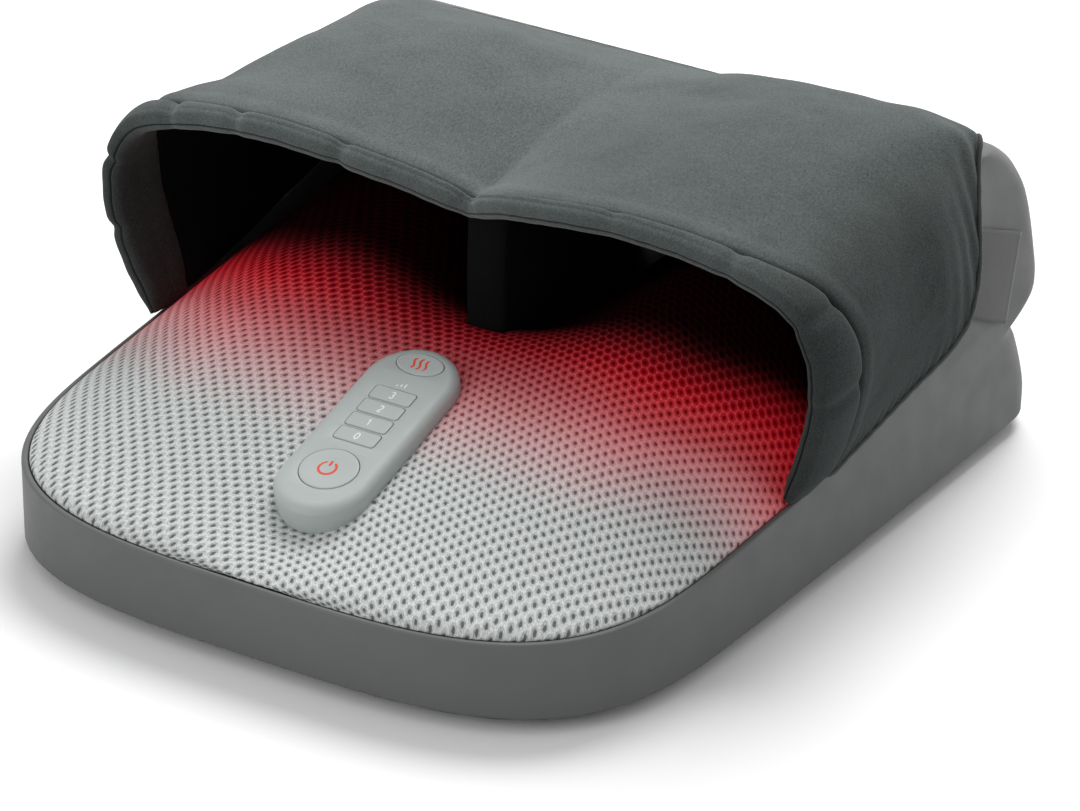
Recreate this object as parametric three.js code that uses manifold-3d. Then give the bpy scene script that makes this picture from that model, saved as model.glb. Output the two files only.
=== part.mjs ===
// Foot massager: a moulded tub with a stretched mesh foot bed, two geared kneading trains driven by
// worms, a fabric hood over two foot chambers with air bags, and a control panel between the feet.
// Millimetres, +X to the sitter's right, +Y to the toes, +Z up. While it is built, Y counts from the
// front edge; the finished group is then centred on its footprint.
import * as THREE from 'three'
import { mergeVertices } from 'three/addons/utils/BufferGeometryUtils.js'
import Module from 'manifold-3d'

const wasm = await Module()
wasm.setup()

// Driving dimensions
const frontHalf = 180.5 // half width where the front corners end
const rearHalf = 185 // half width at the back
const cornerPower = 3.43 // squareness of the front
const sideBow = 0.9 // how much the sides bulge
const depth = 430 // front edge to the back of the housing
const cornerLength = 0.3326 * depth // length of the rounded front
const sideLength = 0.6163 * depth // length of the nearly straight sides
const rearCorner = 28 // corner radius at the back
const rearCornerLeast = 4 // its least radius at any inset
const wall = 3 // housing wall
const gap = 0.3 // clearance between pieces that touch
const over = 5 // overrun of every cut
const seamHeight = 8 // lower edge of the housing
const rimFront = 45.5 // height of the rim at the front
const rimSlope = 0.066 // rise of the rim towards the back
const tilt = THREE.MathUtils.degToRad(8) // slope of the kneading units
const panelTilt = THREE.MathUtils.degToRad(15) // slope of the control panel

const group = new THREE.Group()

// Materials
const finish = (color, roughness, metalness = 0) =>
  new THREE.MeshStandardMaterial({ color, roughness, metalness })
const shellPlastic = finish(0x5d605f, 0.55)
const innerPlastic = finish(0x3c3f40, 0.6)
const panelPlastic = finish(0xc5cac8, 0.45)
const meshCloth = finish(0xbec3c2, 0.9)
const velour = finish(0x5a6263, 0.95)
const darkCloth = finish(0x1c1e20, 0.95)
const labelCloth = finish(0x545454, 0.85)
const acetal = finish(0xe8e6de, 0.4)
const rubber = finish(0x161616, 0.9)
const steel = finish(0xb4b7ba, 0.3, 1)
const brass = finish(0xc9a24a, 0.35, 1)
const board = finish(0x1f5c3a, 0.6)
const heaterFilm = finish(0xa63a24, 0.6)
const airFilm = finish(0x6f7478, 0.5)

// Solids
function solidOf(geometry) {
  const bare = geometry.index ? geometry.toNonIndexed() : geometry.clone()
  bare.deleteAttribute('normal')
  bare.deleteAttribute('uv')
  const merged = mergeVertices(bare)
  return new wasm.Manifold(new wasm.Mesh({
    numProp: 3,
    vertProperties: merged.attributes.position.array,
    triVerts: Uint32Array.from(merged.index.array),
  }))
}

function geometryOf(solid) {
  const mesh = solid.getMesh()
  const geometry = new THREE.BufferGeometry()
  geometry.setAttribute('position', new THREE.BufferAttribute(mesh.vertProperties, mesh.numProp))
  geometry.setIndex(new THREE.BufferAttribute(mesh.triVerts, 1))
  geometry.computeVertexNormals()
  return geometry
}

const join = (first, ...rest) => rest.reduce((all, next) => all.add(next), first)
const cut = (first, ...rest) => rest.reduce((all, next) => all.subtract(next), first)
const common = (first, ...rest) => rest.reduce((all, next) => all.intersect(next), first)

function piece(name, solid, material, parent = group) {
  const mesh = new THREE.Mesh(geometryOf(solid), material)
  mesh.name = name
  parent.add(mesh)
  return mesh
}

function prism(points, low, high) {
  const geometry = new THREE.ExtrudeGeometry(new THREE.Shape(points), {
    depth: high - low,
    bevelEnabled: false,
  })
  return solidOf(geometry.translate(0, 0, low))
}

// A profile in Y and Z, extruded along X.
function prismAcross(points, left, right) {
  const geometry = new THREE.ExtrudeGeometry(new THREE.Shape(points), {
    depth: right - left,
    bevelEnabled: false,
  })
  geometry.rotateY(Math.PI / 2).rotateX(Math.PI / 2)
  return solidOf(geometry.translate(left, 0, 0))
}

function block(x, y, z, width, length, height) {
  return solidOf(new THREE.BoxGeometry(width, length, height).translate(x, y, z + height / 2))
}

function rod(x, y, low, high, radius, sides = 12) {
  const geometry = new THREE.CylinderGeometry(radius, radius, high - low, sides)
  return solidOf(geometry.rotateX(Math.PI / 2).translate(x, y, (low + high) / 2))
}

function rodAlong(x, z, front, back, radius, sides = 14) {
  const geometry = new THREE.CylinderGeometry(radius, radius, back - front, sides)
  return solidOf(geometry.translate(x, (front + back) / 2, z))
}

// A profile of radius and height turned about Z.
function turned(points, sides = 20) {
  const profile = points.map(([radius, height]) => new THREE.Vector2(radius, height))
  return solidOf(new THREE.LatheGeometry(profile, sides).rotateX(Math.PI / 2))
}

// A closed skin through rings of points, all with the same count, anticlockwise from above.
function loft(rings) {
  const count = rings[0].length
  const positions = rings.flat().flatMap((point) => [point.x, point.y, point.z])
  const faces = []
  for (let ring = 0; ring < rings.length - 1; ring += 1) {
    for (let i = 0; i < count; i += 1) {
      const next = (i + 1) % count
      const a = ring * count + i
      const b = ring * count + next
      faces.push(a, b, b + count, a, b + count, a + count)
    }
  }
  const flat = (ring) => ring.map((point) => new THREE.Vector2(point.x, point.y))
  const last = (rings.length - 1) * count
  for (const [a, b, c] of THREE.ShapeUtils.triangulateShape(flat(rings[0]), [])) {
    faces.push(a, c, b)
  }
  for (const [a, b, c] of THREE.ShapeUtils.triangulateShape(flat(rings.at(-1)), [])) {
    faces.push(last + a, last + b, last + c)
  }
  const geometry = new THREE.BufferGeometry()
  geometry.setAttribute('position', new THREE.Float32BufferAttribute(positions, 3))
  geometry.setIndex(faces)
  return solidOf(geometry)
}

// A closed sheet between two grids of points; the first grid is the side that the faces wind
// anticlockwise on.
function sheet(upper, lower) {
  const rows = upper.length
  const columns = upper[0].length
  const positions = [...upper, ...lower].flat().flatMap((point) => [point.x, point.y, point.z])
  const at = (side, row, column) => (side * rows + row) * columns + column
  const faces = []
  const quad = (a, b, c, d) => faces.push(a, b, c, a, c, d)
  for (let row = 0; row < rows - 1; row += 1) {
    for (let column = 0; column < columns - 1; column += 1) {
      quad(at(0, row, column), at(0, row, column + 1), at(0, row + 1, column + 1),
        at(0, row + 1, column))
      quad(at(1, row, column), at(1, row + 1, column), at(1, row + 1, column + 1),
        at(1, row, column + 1))
    }
    quad(at(0, row, 0), at(0, row + 1, 0), at(1, row + 1, 0), at(1, row, 0))
    const end = columns - 1
    quad(at(0, row, end), at(1, row, end), at(1, row + 1, end), at(0, row + 1, end))
  }
  for (let column = 0; column < columns - 1; column += 1) {
    quad(at(0, 0, column), at(1, 0, column), at(1, 0, column + 1), at(0, 0, column + 1))
    const end = rows - 1
    quad(at(0, end, column), at(0, end, column + 1), at(1, end, column + 1), at(1, end, column))
  }
  const geometry = new THREE.BufferGeometry()
  geometry.setAttribute('position', new THREE.Float32BufferAttribute(positions, 3))
  geometry.setIndex(faces)
  return solidOf(geometry)
}

// A round tube along a smooth curve through points.
function tube(points, radius, steps, sides = 8) {
  const path = new THREE.CatmullRomCurve3(points)
  const section = new THREE.Shape()
  section.absarc(0, 0, radius, 0, 2 * Math.PI, false)
  const geometry = new THREE.ExtrudeGeometry(section, {
    steps,
    curveSegments: sides / 2,
    extrudePath: path,
  })
  return solidOf(geometry)
}

// A value read off a smooth curve through pairs, which are shares of a span and of a height.
function smoothTable(pairs) {
  return (share) => {
    const x = THREE.MathUtils.clamp(share, pairs[0][0], pairs.at(-1)[0])
    let i = 0
    while (i < pairs.length - 2 && x > pairs[i + 1][0]) i += 1
    const [before, from, to, after] = [pairs[Math.max(i - 1, 0)], pairs[i], pairs[i + 1],
      pairs[Math.min(i + 2, pairs.length - 1)]]
    const span = to[0] - from[0]
    const slope = (a, b) => (b[1] - a[1]) / Math.max(b[0] - a[0], Number.EPSILON)
    const m0 = slope(before, to) * span
    const m1 = slope(from, after) * span
    const t = (x - from[0]) / span
    return from[1] * (2 * t ** 3 - 3 * t ** 2 + 1) + m0 * (t ** 3 - 2 * t ** 2 + t) +
      to[1] * (3 * t ** 2 - 2 * t ** 3) + m1 * (t ** 3 - t ** 2)
  }
}

// Plan of the housing: half its width at a place along the length, moved in by an inset.
function halfWidth(y, inset = 0) {
  const length = cornerLength - inset
  const flare = (1 + sideBow) * (rearHalf - frontHalf) / sideLength
  if (y < cornerLength) {
    const reach = Math.min(1, (cornerLength - y) / length)
    const round = (1 - reach ** cornerPower) ** (1 / cornerPower)
    return (frontHalf - inset) * round * (1 - flare * (cornerLength - y) / frontHalf)
  }
  const share = (y - cornerLength) / sideLength
  return frontHalf - inset + (rearHalf - frontHalf) * (share + sideBow * share * (1 - share))
}

// The closed plan outline at an inset, its back straight across at a place along the length.
function planOutline(inset, back, height) {
  const right = []
  const frontSteps = 8
  const sideSteps = 3
  const cornerSteps = 3
  for (let i = 0; i <= frontSteps; i += 1) {
    const angle = (Math.PI / 2) * (i / frontSteps)
    const y = cornerLength - (cornerLength - inset) * Math.cos(angle) ** (2 / cornerPower)
    right.push([halfWidth(y, inset), y])
  }
  const radius = Math.max(rearCorner - inset, rearCornerLeast)
  const start = back - radius
  for (let i = 1; i <= sideSteps; i += 1) {
    const y = cornerLength + (start - cornerLength) * (i / sideSteps)
    right.push([halfWidth(y, inset), y])
  }
  const side = halfWidth(start, inset) - radius
  for (let i = 1; i <= cornerSteps; i += 1) {
    const angle = (Math.PI / 2) * (i / cornerSteps)
    right.push([side + radius * Math.cos(angle), start + radius * Math.sin(angle)])
  }
  const left = right.slice(1).reverse().map(([x, y]) => [-x, y])
  return [...right, ...left].map(([x, y]) => new THREE.Vector3(x, y, height))
}

// Heights along the housing.
const rimHeight = (y) => rimFront + rimSlope * y

// Back of the housing: how far back it reaches at each height, with a grip recess below the bulge.
const roofHeight = 154
const gripShare = 0.935
const leanFrom = 72 // height above which the side walls lean in
const sideLean = 14 // how far in the walls have come at the roof
const backShares = [
  [0.052, 0.977],
  [0.156, 0.977],
  [0.345, 0.951],
  [0.388, gripShare],
  [0.43, 0.972],
  [0.48, 0.997],
  [0.59, 1],
  [0.78, 0.989],
  [0.89, 0.965],
  [0.95, 0.942],
  [0.99, 0.915],
  [1, 0.893],
]
const lean = (z) => sideLean * Math.max(0, (z - leanFrom) / (roofHeight - leanFrom))
const roofShare = 0.78 // share of the height above which an inner wall's rings close up under the roof
const housingRings = (inset, lift, drop) => backShares.map(([height, reach], i) => {
  const roofward = Math.max(0, (height - roofShare) / (1 - roofShare))
  const z = i === 0 ? seamHeight - drop : height * roofHeight + lift * roofward
  return planOutline(inset + lean(z), depth * reach - inset, z)
})

// The line where the hood meets the housing, from the hood's front tip to the roof.
const tipPlace = 0.428 * depth
const tipHeight = rimHeight(tipPlace)
const hoodSeamShares = [
  [0, 0],
  [0.18, 0.05],
  [0.36, 0.11],
  [0.56, 0.19],
  [0.66, 0.235],
  [0.75, 0.31],
  [0.785, 0.39],
  [0.83, 0.52],
  [0.876, 0.7],
  [0.922, 0.857],
  [0.96, 0.96],
  [1, 1],
]
const seamBack = 0.879 * depth
const seamPoints = hoodSeamShares.map(([along, up]) => [
  tipPlace + (seamBack - tipPlace) * along,
  tipHeight + (roofHeight - tipHeight) * up,
])

// The side of the housing seen along X: all that stays below the rim and the hood's seam.
function housingSide(lift) {
  const top = [[-over, rimFront + lift], [0, rimFront + lift],
    ...seamPoints.map(([y, z]) => [y, z + lift])]
  const points = [...top, [depth + over, roofHeight + lift], [depth + over, -over],
    [-over, -over]]
  return points.reverse().map(([y, z]) => new THREE.Vector2(y, z))
}

const pastSides = frontHalf + rearHalf // farther out than any part of the housing
function acrossHousing(lift) {
  return prismAcross(housingSide(lift), -pastSides, pastSides)
}

// Housing: a tub with a thicker lower wall whose top is the ledge under the foot bed.
const ledgeWidth = 4
const bedThickness = 4 // stretched mesh and its foam
const bedDrop = 0.5 // how far the bed's edge lies below the rim
const ledgeDrop = bedDrop + bedThickness + gap
const bossRadius = 5
const bossTop = 34
const pilotRadius = 1.6
const pilotTop = 24
const plateBottom = 3 // height of the bottom plate above the table
const plateFloor = 2.5
const screwPadHeight = 2.5
const floorTop = plateBottom + plateFloor
const ribHeight = 6 // of the plate's stop inside the housing
const bossSink = 1.5 // how far a boss sinks into the wall
const screwFront = 0.1442 * depth
const screwBack = 0.8651 * depth
const screwPlaces = [screwFront, screwBack].flatMap((y) => [1, -1].map((side) => [
  side * (halfWidth(y) - wall - ledgeWidth - bossRadius + bossSink), y]))
const inletPlace = -0.65 * rearHalf
const inletHeight = 30
const inletRadius = 5.5

function makeHousing() {
  const outer = common(loft(housingRings(0, 0, 0)), acrossHousing(0))
  const bedLine = [[-over, rimHeight(0) - ledgeDrop], [0, rimHeight(0) - ledgeDrop],
    [depth + over, rimHeight(depth + over) - ledgeDrop], [depth + over, roofHeight + over],
    [-over, roofHeight + over]].map(([y, z]) => new THREE.Vector2(y, z))
  const aboveLedge = prismAcross(bedLine, -pastSides, pastSides)
  const wide = common(loft(housingRings(wall, -wall, 0)), aboveLedge)
  const narrow = loft(housingRings(wall + ledgeWidth, -wall - ledgeWidth, over))
  const shell = cut(outer, wide, narrow)
  const bossLow = floorTop + screwPadHeight + gap
  const bosses = screwPlaces.map(([x, y]) => rod(x, y, bossLow, bossTop, bossRadius))
  const gussetLow = floorTop + ribHeight + gap
  const gussets = common(join(...screwPlaces.map(([x, y]) => (
    block(x + Math.sign(x) * bossRadius, y, gussetLow, 2 * bossRadius, wall, bossTop - gussetLow)))),
  loft(housingRings(wall / 2, 0, 0)))
  const pilots = screwPlaces.map(([x, y]) => rod(x, y, 0, pilotTop, pilotRadius, 12))
  const inletHole = rodAlong(inletPlace, inletHeight, depth - 6 * ledgeWidth - over, depth + over,
    inletRadius + gap)
  return cut(join(shell, ...bosses, gussets), ...pilots, inletHole)
}
piece('base_shell', makeHousing(), shellPlastic)

// Bottom plate, screws and feet.
const plateInset = 2.5
const lowBack = depth * backShares[0][1]
const footFront = 0.14419 * depth
const footFrontHalf = 0.65374 * frontHalf
const footBack = 0.89535 * depth
const footBackHalf = 0.75676 * rearHalf
const footPlaces = [[footFrontHalf, footFront], [-footFrontHalf, footFront],
  [footBackHalf, footBack], [-footBackHalf, footBack]]
const footRadius = 11
const footRecess = 1
const footChamfer = 1.5
const stemProud = 1
const screwPoint = 1
const stemRadius = 3
const screwRadius = 1.3
const headRadius = 3.4
const headDepth = 2.2
const stopInset = wall + ledgeWidth + gap
const boardPlace = [-0.355 * frontHalf, footFront]
const boardSize = [56, 50]
const boardHeight = 14
const boardPost = 3
const boardPosts = [[-1, -1], [1, -1], [1, 1], [-1, 1]].map(([right, back]) => [
  boardPlace[0] + right * (boardSize[0] / 2 - boardPost),
  boardPlace[1] + back * (boardSize[1] / 2 - boardPost)])

const lowOutline = (inset, z) => planOutline(inset, lowBack - inset, z)

function makePlate() {
  const taper = plateInset + 2 * plateFloor
  const tray = cut(
    loft([lowOutline(taper, plateBottom), lowOutline(plateInset, seamHeight - gap)]),
    loft([lowOutline(stopInset + plateFloor, floorTop),
      lowOutline(stopInset + plateFloor, seamHeight + over)]))
  const stop = cut(
    loft([lowOutline(stopInset, floorTop - gap), lowOutline(stopInset, floorTop + ribHeight)]),
    loft([lowOutline(stopInset + plateFloor, floorTop - over),
      lowOutline(stopInset + plateFloor, floorTop + ribHeight + over)]),
    ...screwPlaces.map(([x, y]) => rod(x, y, 0, bossTop, bossRadius + gap)))
  const padTop = floorTop + screwPadHeight
  const pads = screwPlaces.map(([x, y]) => rod(x, y, floorTop - gap, padTop, bossRadius))
  const posts = boardPosts.map(([x, y]) => (
    rod(x, y, floorTop - gap, boardHeight - gap, boardPost, 8)))
  const holes = screwPlaces.flatMap(([x, y]) => [
    rod(x, y, 0, seamHeight + over, pilotRadius + gap, 12),
    rod(x, y, 0, plateBottom + headDepth + gap, headRadius + gap)])
  const footHoles = footPlaces.flatMap(([x, y]) => [
    rod(x, y, 0, plateBottom + footRecess, footRadius + gap),
    rod(x, y, 0, seamHeight, stemRadius + gap, 12)])
  return cut(join(tray, stop, ...pads, ...posts), ...holes, ...footHoles)
}

piece('bottom_plate', makePlate(), shellPlastic)

const corners = ['front_right', 'front_left', 'rear_right', 'rear_left']
for (const [i, [x, y]] of screwPlaces.entries()) {
  const head = plateBottom + gap
  const screw = turned([[0, head], [headRadius, head], [headRadius, head + headDepth - gap],
    [screwRadius, head + headDepth - gap], [screwRadius, pilotTop - screwPoint],
    [0, pilotTop]], 10)
  piece(`screw_${corners[i]}`, screw.translate([x, y, 0]), steel)
}
for (const [i, [x, y]] of footPlaces.entries()) {
  const seat = plateBottom + footRecess - gap
  const foot = turned([[0, 0], [footRadius - footChamfer, 0], [footRadius, footChamfer],
    [footRadius, seat], [stemRadius, seat], [stemRadius, floorTop + stemProud],
    [0, floorTop + stemProud]], 12)
  piece(`foot_${corners[i]}`, foot.translate([x, y, 0]), rubber)
}

// Foot bed: two ridges under the feet, a valley between them that also carries the panel.
const bedBack = 0.8186 * depth
const ridgePlace = 0.482 * frontHalf // sideways place of each foot's ridge
const bedShares = {
  ridge: smoothTable([[0, 0], [0.14, 0.22], [0.28, 0.47], [0.44, 0.72], [0.57, 0.86],
    [0.7, 0.95], [0.84, 1], [1, 0.98]]),
  valley: smoothTable([[0, 0], [0.1, 0.083], [0.17, 0.235], [0.277, 0.42], [0.37, 0.56],
    [0.45, 0.66], [0.53, 0.69], [0.58, 0.64], [0.66, 0.48], [0.83, 0.36], [1, 0.33]]),
}
const ridgeRise = 66 // height of the ridge's top above the front of the bed
const bedRoll = 14 // radius of the bed's rolled edge
const bedPuff = 4
const bedInset = wall + 3 * gap

function bedHeight(x, y) {
  const half = halfWidth(y, bedInset)
  const edge = rimHeight(y) - bedDrop
  const share = y / bedBack
  const ridge = rimFront + bedPuff + ridgeRise * bedShares.ridge(share)
  const valley = rimFront + bedPuff - 2 * bedDrop + ridgeRise * bedShares.valley(share)
  const turn = Math.min(ridgePlace, half / 2)
  const across = Math.abs(x)
  const level = across < turn
    ? valley + (ridge - valley) * (1 - Math.cos((Math.PI * across) / turn)) / 2
    : edge + bedPuff + (ridge - edge - bedPuff) *
      Math.cos((Math.PI / 2) * Math.min(1, (across - turn) / (half - turn)))
  const roll = (distance) => {
    const reach = 1 - THREE.MathUtils.clamp(distance / bedRoll, 0, 1)
    return Math.sqrt(1 - reach * reach)
  }
  return edge + (level - edge) * roll(half - across) * roll(y - bedInset)
}

// The control panel's own frame, at the middle of its top.
const panelPlace = new THREE.Vector3(0, 0.2258 * depth, ridgeRise + 18)
const panelLength = 121
const panelWidth = 48
const panelDepth = 24
const panelWall = 2.4

function stadium(length, width, inset = 0, height = 0) {
  const radius = width / 2 - inset
  const reach = (length - width) / 2
  const steps = 8
  const points = []
  for (let i = 0; i <= steps; i += 1) {
    const angle = Math.PI * (i / steps)
    points.push(new THREE.Vector3(radius * Math.cos(angle), reach + radius * Math.sin(angle), height))
  }
  for (let i = 0; i <= steps; i += 1) {
    const angle = Math.PI * (1 + i / steps)
    points.push(new THREE.Vector3(radius * Math.cos(angle), -reach + radius * Math.sin(angle), height))
  }
  return points
}

const tiltDegrees = THREE.MathUtils.radToDeg(panelTilt)
const onPanel = (solid) => solid.rotate([tiltDegrees, 0, 0]).translate(panelPlace.toArray())

// Wall behind the toes.
const toePlace = 0.8279 * depth
const toeHalf = rearHalf - 25
const toeTop = roofHeight - 6
const toeThickness = 3
piece('toe_wall', block(0, toePlace, floorTop + gap, 2 * toeHalf, toeThickness,
  toeTop - floorTop - gap), innerPlastic)

// Divider between the feet.
const dividerHalf = 11
const dividerFront = 0.4581 * depth
const dividerBack = 0.7442 * depth
const dividerLeg = 16

function bedSheet(above, below) {
  const rows = []
  const frontRows = 6
  for (let i = 0; i <= frontRows; i += 1) {
    const angle = (Math.PI / 2) * (i / frontRows)
    rows.push(bedInset + Math.max(bedDrop, (cornerLength - bedInset) * (1 - Math.cos(angle))))
  }
  const backRows = 9
  for (let i = 1; i <= backRows; i += 1) {
    rows.push(cornerLength + (bedBack - cornerLength) * (i / backRows))
  }
  const columnsHalf = 9
  const grid = (drop) => rows.map((y) => {
    const row = []
    for (let column = -columnsHalf; column <= columnsHalf; column += 1) {
      const share = Math.sin((Math.PI / 2) * (column / columnsHalf))
      const x = halfWidth(y, bedInset) * share
      row.push(new THREE.Vector3(x, y, bedHeight(x, y) - drop))
    }
    return row
  })
  return sheet(grid(-above), grid(below))
}

function makeBed() {
  const cloth = bedSheet(0, bedThickness)
  const panelHole = onPanel(loft([stadium(panelLength, panelWidth, -gap, -3 * panelDepth),
    stadium(panelLength, panelWidth, -gap, panelDepth)]))
  const slot = block(0, (dividerFront + depth) / 2 - gap, 0, 2 * (dividerHalf + gap),
    depth - dividerFront, roofHeight)
  return cut(cloth, panelHole, slot)
}
piece('mesh_cover', makeBed(), meshCloth)

// Hood: an arch over each foot, lower between them, from the hem back to the roof.
const hoodThickness = 8
const hemCrest = 1.195 * roofHeight
const backCrest = 1.2468 * roofHeight
const hoodBack = 0.9023 * depth
const hemShares = [[0.4302, 0], [0.4116, 0.2], [0.407, 0.4], [0.4047, 0.6], [0.4093, 0.8],
  [0.4395, 1]]
const hemPlaces = new THREE.CatmullRomCurve3(hemShares.map(([back, t]) => (
  new THREE.Vector3(depth * back, t, 0))))
const archCurve = (shares) => new THREE.CatmullRomCurve3(
  shares.map(([x, z]) => new THREE.Vector3(x, 0, z)))
const hemArchShares = [[1, 0.3], [1.07, 0.47], [1.11, 0.63], [1.1, 0.78], [1.02, 0.905],
  [0.87, 0.965], [0.69, 0.995], [0.5, 1], [0.3, 0.98], [0.14, 0.945], [0, 0.895]]
const backArchShares = [[1, 0.34], [1.04, 0.48], [1.05, 0.62], [1.02, 0.76], [0.95, 0.87],
  [0.83, 0.95], [0.68, 0.985], [0.5, 0.99], [0.3, 0.965], [0.14, 0.935], [0, 0.92]]
const endArchShares = [[1, 0.34], [0.995, 0.5], [0.975, 0.64], [0.95, 0.78], [0.93, 0.89],
  [0.905, 0.965], [0.8, 1], [0.6, 1], [0.4, 1], [0.2, 1], [0, 1]]
const droopShares = [[0, 1], [0.5, 1], [0.67, 0.975], [0.81, 0.91], [0.93, 0.845], [1, 0.8]]
const hemArch = archCurve(hemArchShares)
const backArch = archCurve(backArchShares)
const endArch = archCurve(endArchShares)
const crownEnd = 0.55
const droop = smoothTable(droopShares)

// A point of the hood: across from the side (0) to the middle (1), along from the hem (0) to the
// back (1), and an offset inwards.
function hoodPoint(across, along, offset = 0, side = 1) {
  const hem = hemPlaces.getPoint(across).x
  const y = hem + (hoodBack - hem) * along
  const half = halfWidth(y)
  const blend = THREE.MathUtils.smoothstep(along, 0, crownEnd)
  const close = THREE.MathUtils.smoothstep(along, crownEnd, 1)
  const at = (t) => {
    const front = hemArch.getPoint(t)
    const back = backArch.getPoint(t).lerp(endArch.getPoint(t), close)
    const fall = droop(along)
    return new THREE.Vector2(
      half * THREE.MathUtils.lerp(front.x, back.x, blend),
      THREE.MathUtils.lerp(front.z * hemCrest, back.z * backCrest, blend) * fall)
  }
  const here = at(across)
  const nudge = 0.01
  const before = at(Math.max(0, across - nudge))
  const after = at(Math.min(1, across + nudge))
  const run = after.sub(before).normalize()
  if (across > 1 - nudge) run.set(-1, 0)
  const x = here.x - run.y * offset
  const z = here.y + run.x * offset
  return new THREE.Vector3(side * x, y, z)
}

// A grid over the hood from side to side; each half runs between two places across.
function hoodGrid(rows, columnsHalf, offset, low = 0, high = 1) {
  return rows.map((along) => {
    const row = []
    for (let column = -columnsHalf; column <= columnsHalf; column += 1) {
      const across = low + (high - low) * (1 - Math.abs(column) / columnsHalf)
      row.push(hoodPoint(across, along, offset, column < 0 ? -1 : 1))
    }
    return row
  })
}

// The housing's whole side view, back included, used to trim the hood to it.
function housingProfile(lift) {
  const back = backShares.map(([height, reach]) => [depth * reach + lift, roofHeight * height])
  back.at(-1)[1] = roofHeight + lift
  const front = [[-over, -over], [-over, rimFront + lift],
    ...seamPoints.map(([y, z]) => [y, z + lift])]
  return [...front, ...back.reverse(), [depth, -over]]
    .reverse().map(([y, z]) => new THREE.Vector2(y, z))
}

const hoodRowShares = [0, 0.06, 0.16, 0.3, 0.46, crownEnd, 0.7, 0.8, 0.88, 0.94, 1]
function makeHood() {
  const cloth = sheet(hoodGrid(hoodRowShares, 11, 0), hoodGrid(hoodRowShares, 11, hoodThickness))
  return cut(cloth, belowHood)
}
const belowHood = join(prismAcross(housingProfile(gap), -pastSides, pastSides),
  bedSheet(gap, rimFront))
piece('hood_cover', makeHood(), velour)

// Padded edge along the hem, a blank woven label on the right seam.
const hemRadius = 4
const hemStart = 0.03 // how far across the hem begins above the housing
function makeHem() {
  const points = []
  const stepsHalf = 14
  for (let i = -stepsHalf; i <= stepsHalf; i += 1) {
    const across = 1 - Math.abs(i) / stepsHalf * (1 - hemStart)
    const point = hoodPoint(across, 0, hoodThickness / 2, i < 0 ? -1 : 1)
    points.push(point.setY(point.y - hemRadius - 3 * gap))
  }
  return tube(points, hemRadius, 34)
}
piece('hood_hem', cut(makeHem(), belowHood), velour)

const labelThickness = 0.8
const labelShares = [[0.8395, 0.8052], [0.9302, 0.6948], [0.8721, 0.448], [0.7744, 0.5844]]
const labelPlaces = labelShares.map(([back, up]) => [depth * back, roofHeight * up])
function makeLabel() {
  const fall = sideLean / (roofHeight - leanFrom)
  const side = (out) => labelPlaces.map(([y, z]) => (
    new THREE.Vector3(halfWidth(y) - fall * (z - leanFrom) + out, y, z)))
  const [a, b, c, d] = side(2 * gap + labelThickness)
  const [e, f, g, h] = side(2 * gap)
  return sheet([[b, a], [c, d]], [[f, e], [g, h]])
}
piece('hood_label', makeLabel(), labelCloth)

// Stiff arch under the back of the hood, and the air bags over the feet.
const frameThickness = 3
const frameGap = 2.4
const frameFrom = 0.66
const frameTo = 0.72
const frameLow = 0.3
function makeFrame() {
  const rows = [frameFrom, (frameFrom + frameTo) / 2, frameTo]
  const inside = hoodThickness + frameGap
  return sheet(hoodGrid(rows, 12, inside, frameLow),
    hoodGrid(rows, 12, inside + frameThickness, frameLow))
}
piece('hood_frame', makeFrame(), innerPlastic)

const bagFrom = 0.16
const bagTo = 0.58
const bagGap = 2
const bagLow = 0.38
const bagHigh = 0.88
const bagThickness = 12
const bagEdge = 2.5
function makeBag(side) {
  const rows = 7
  const columns = 8
  const grid = (inner) => {
    const points = []
    for (let row = 0; row <= rows; row += 1) {
      const along = bagFrom + (bagTo - bagFrom) * (row / rows)
      const line = []
      for (let column = 0; column <= columns; column += 1) {
        const share = side > 0 ? 1 - column / columns : column / columns
        const across = bagLow + (bagHigh - bagLow) * share
        const crown = Math.sqrt(Math.sin(Math.PI * (column / columns)) *
          Math.sin(Math.PI * (row / rows)))
        const depthHere = bagEdge + (bagThickness - bagEdge) * crown
        const offset = hoodThickness + bagGap + (inner ? depthHere : 0)
        line.push(hoodPoint(across, along, offset, side))
      }
      points.push(line)
    }
    return points
  }
  return sheet(grid(false), grid(true))
}

// Control panel: a bevelled case, six keys, a circuit board and a stand down to the plate.
const keyTravel = 1
const keyProud = 0.3
const keyDepth = 2
const flange = 1.2
const keySize = [22.4, 8.8]
const keyCorner = 1.2
const keyPitch = 10.3
const keyFirst = -7.4
const keyPlaces = [0, 1, 2, 3].map((step) => keyFirst + step * keyPitch)
const powerSize = [29, 27]
const powerPlace = -31.7
const heatSize = [25, 14.5]
const heatPlace = 47.6
const boardGap = 1.2
const boardThickness = 1.6

const ellipse = ([width, length], y, grow, sides = 18) => {
  const points = []
  for (let i = 0; i < sides; i += 1) {
    const angle = (2 * Math.PI * i) / sides
    points.push(new THREE.Vector2((width / 2 + grow) * Math.cos(angle),
      y + (length / 2 + grow) * Math.sin(angle)))
  }
  return points
}
const keyOutline = ([width, length], y, growAcross, growAlong) => {
  const radius = keyCorner + growAlong
  const points = []
  const turns = [[1, -1], [1, 1], [-1, 1], [-1, -1]]
  for (const [corner, [right, up]] of turns.entries()) {
    for (let i = 0; i <= 2; i += 1) {
      const angle = (Math.PI / 2) * (corner - 1 + i / 2)
      points.push(new THREE.Vector2(
        right * (width / 2 + growAcross - radius) + radius * Math.cos(angle),
        y + up * (length / 2 + growAlong - radius) + radius * Math.sin(angle)))
    }
  }
  return points
}
const openings = [
  (grow) => ellipse(powerSize, powerPlace, grow),
  (grow) => ellipse(heatSize, heatPlace, grow),
  ...keyPlaces.map((place) => (grow) => keyOutline(keySize, place, grow, grow)),
]
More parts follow.
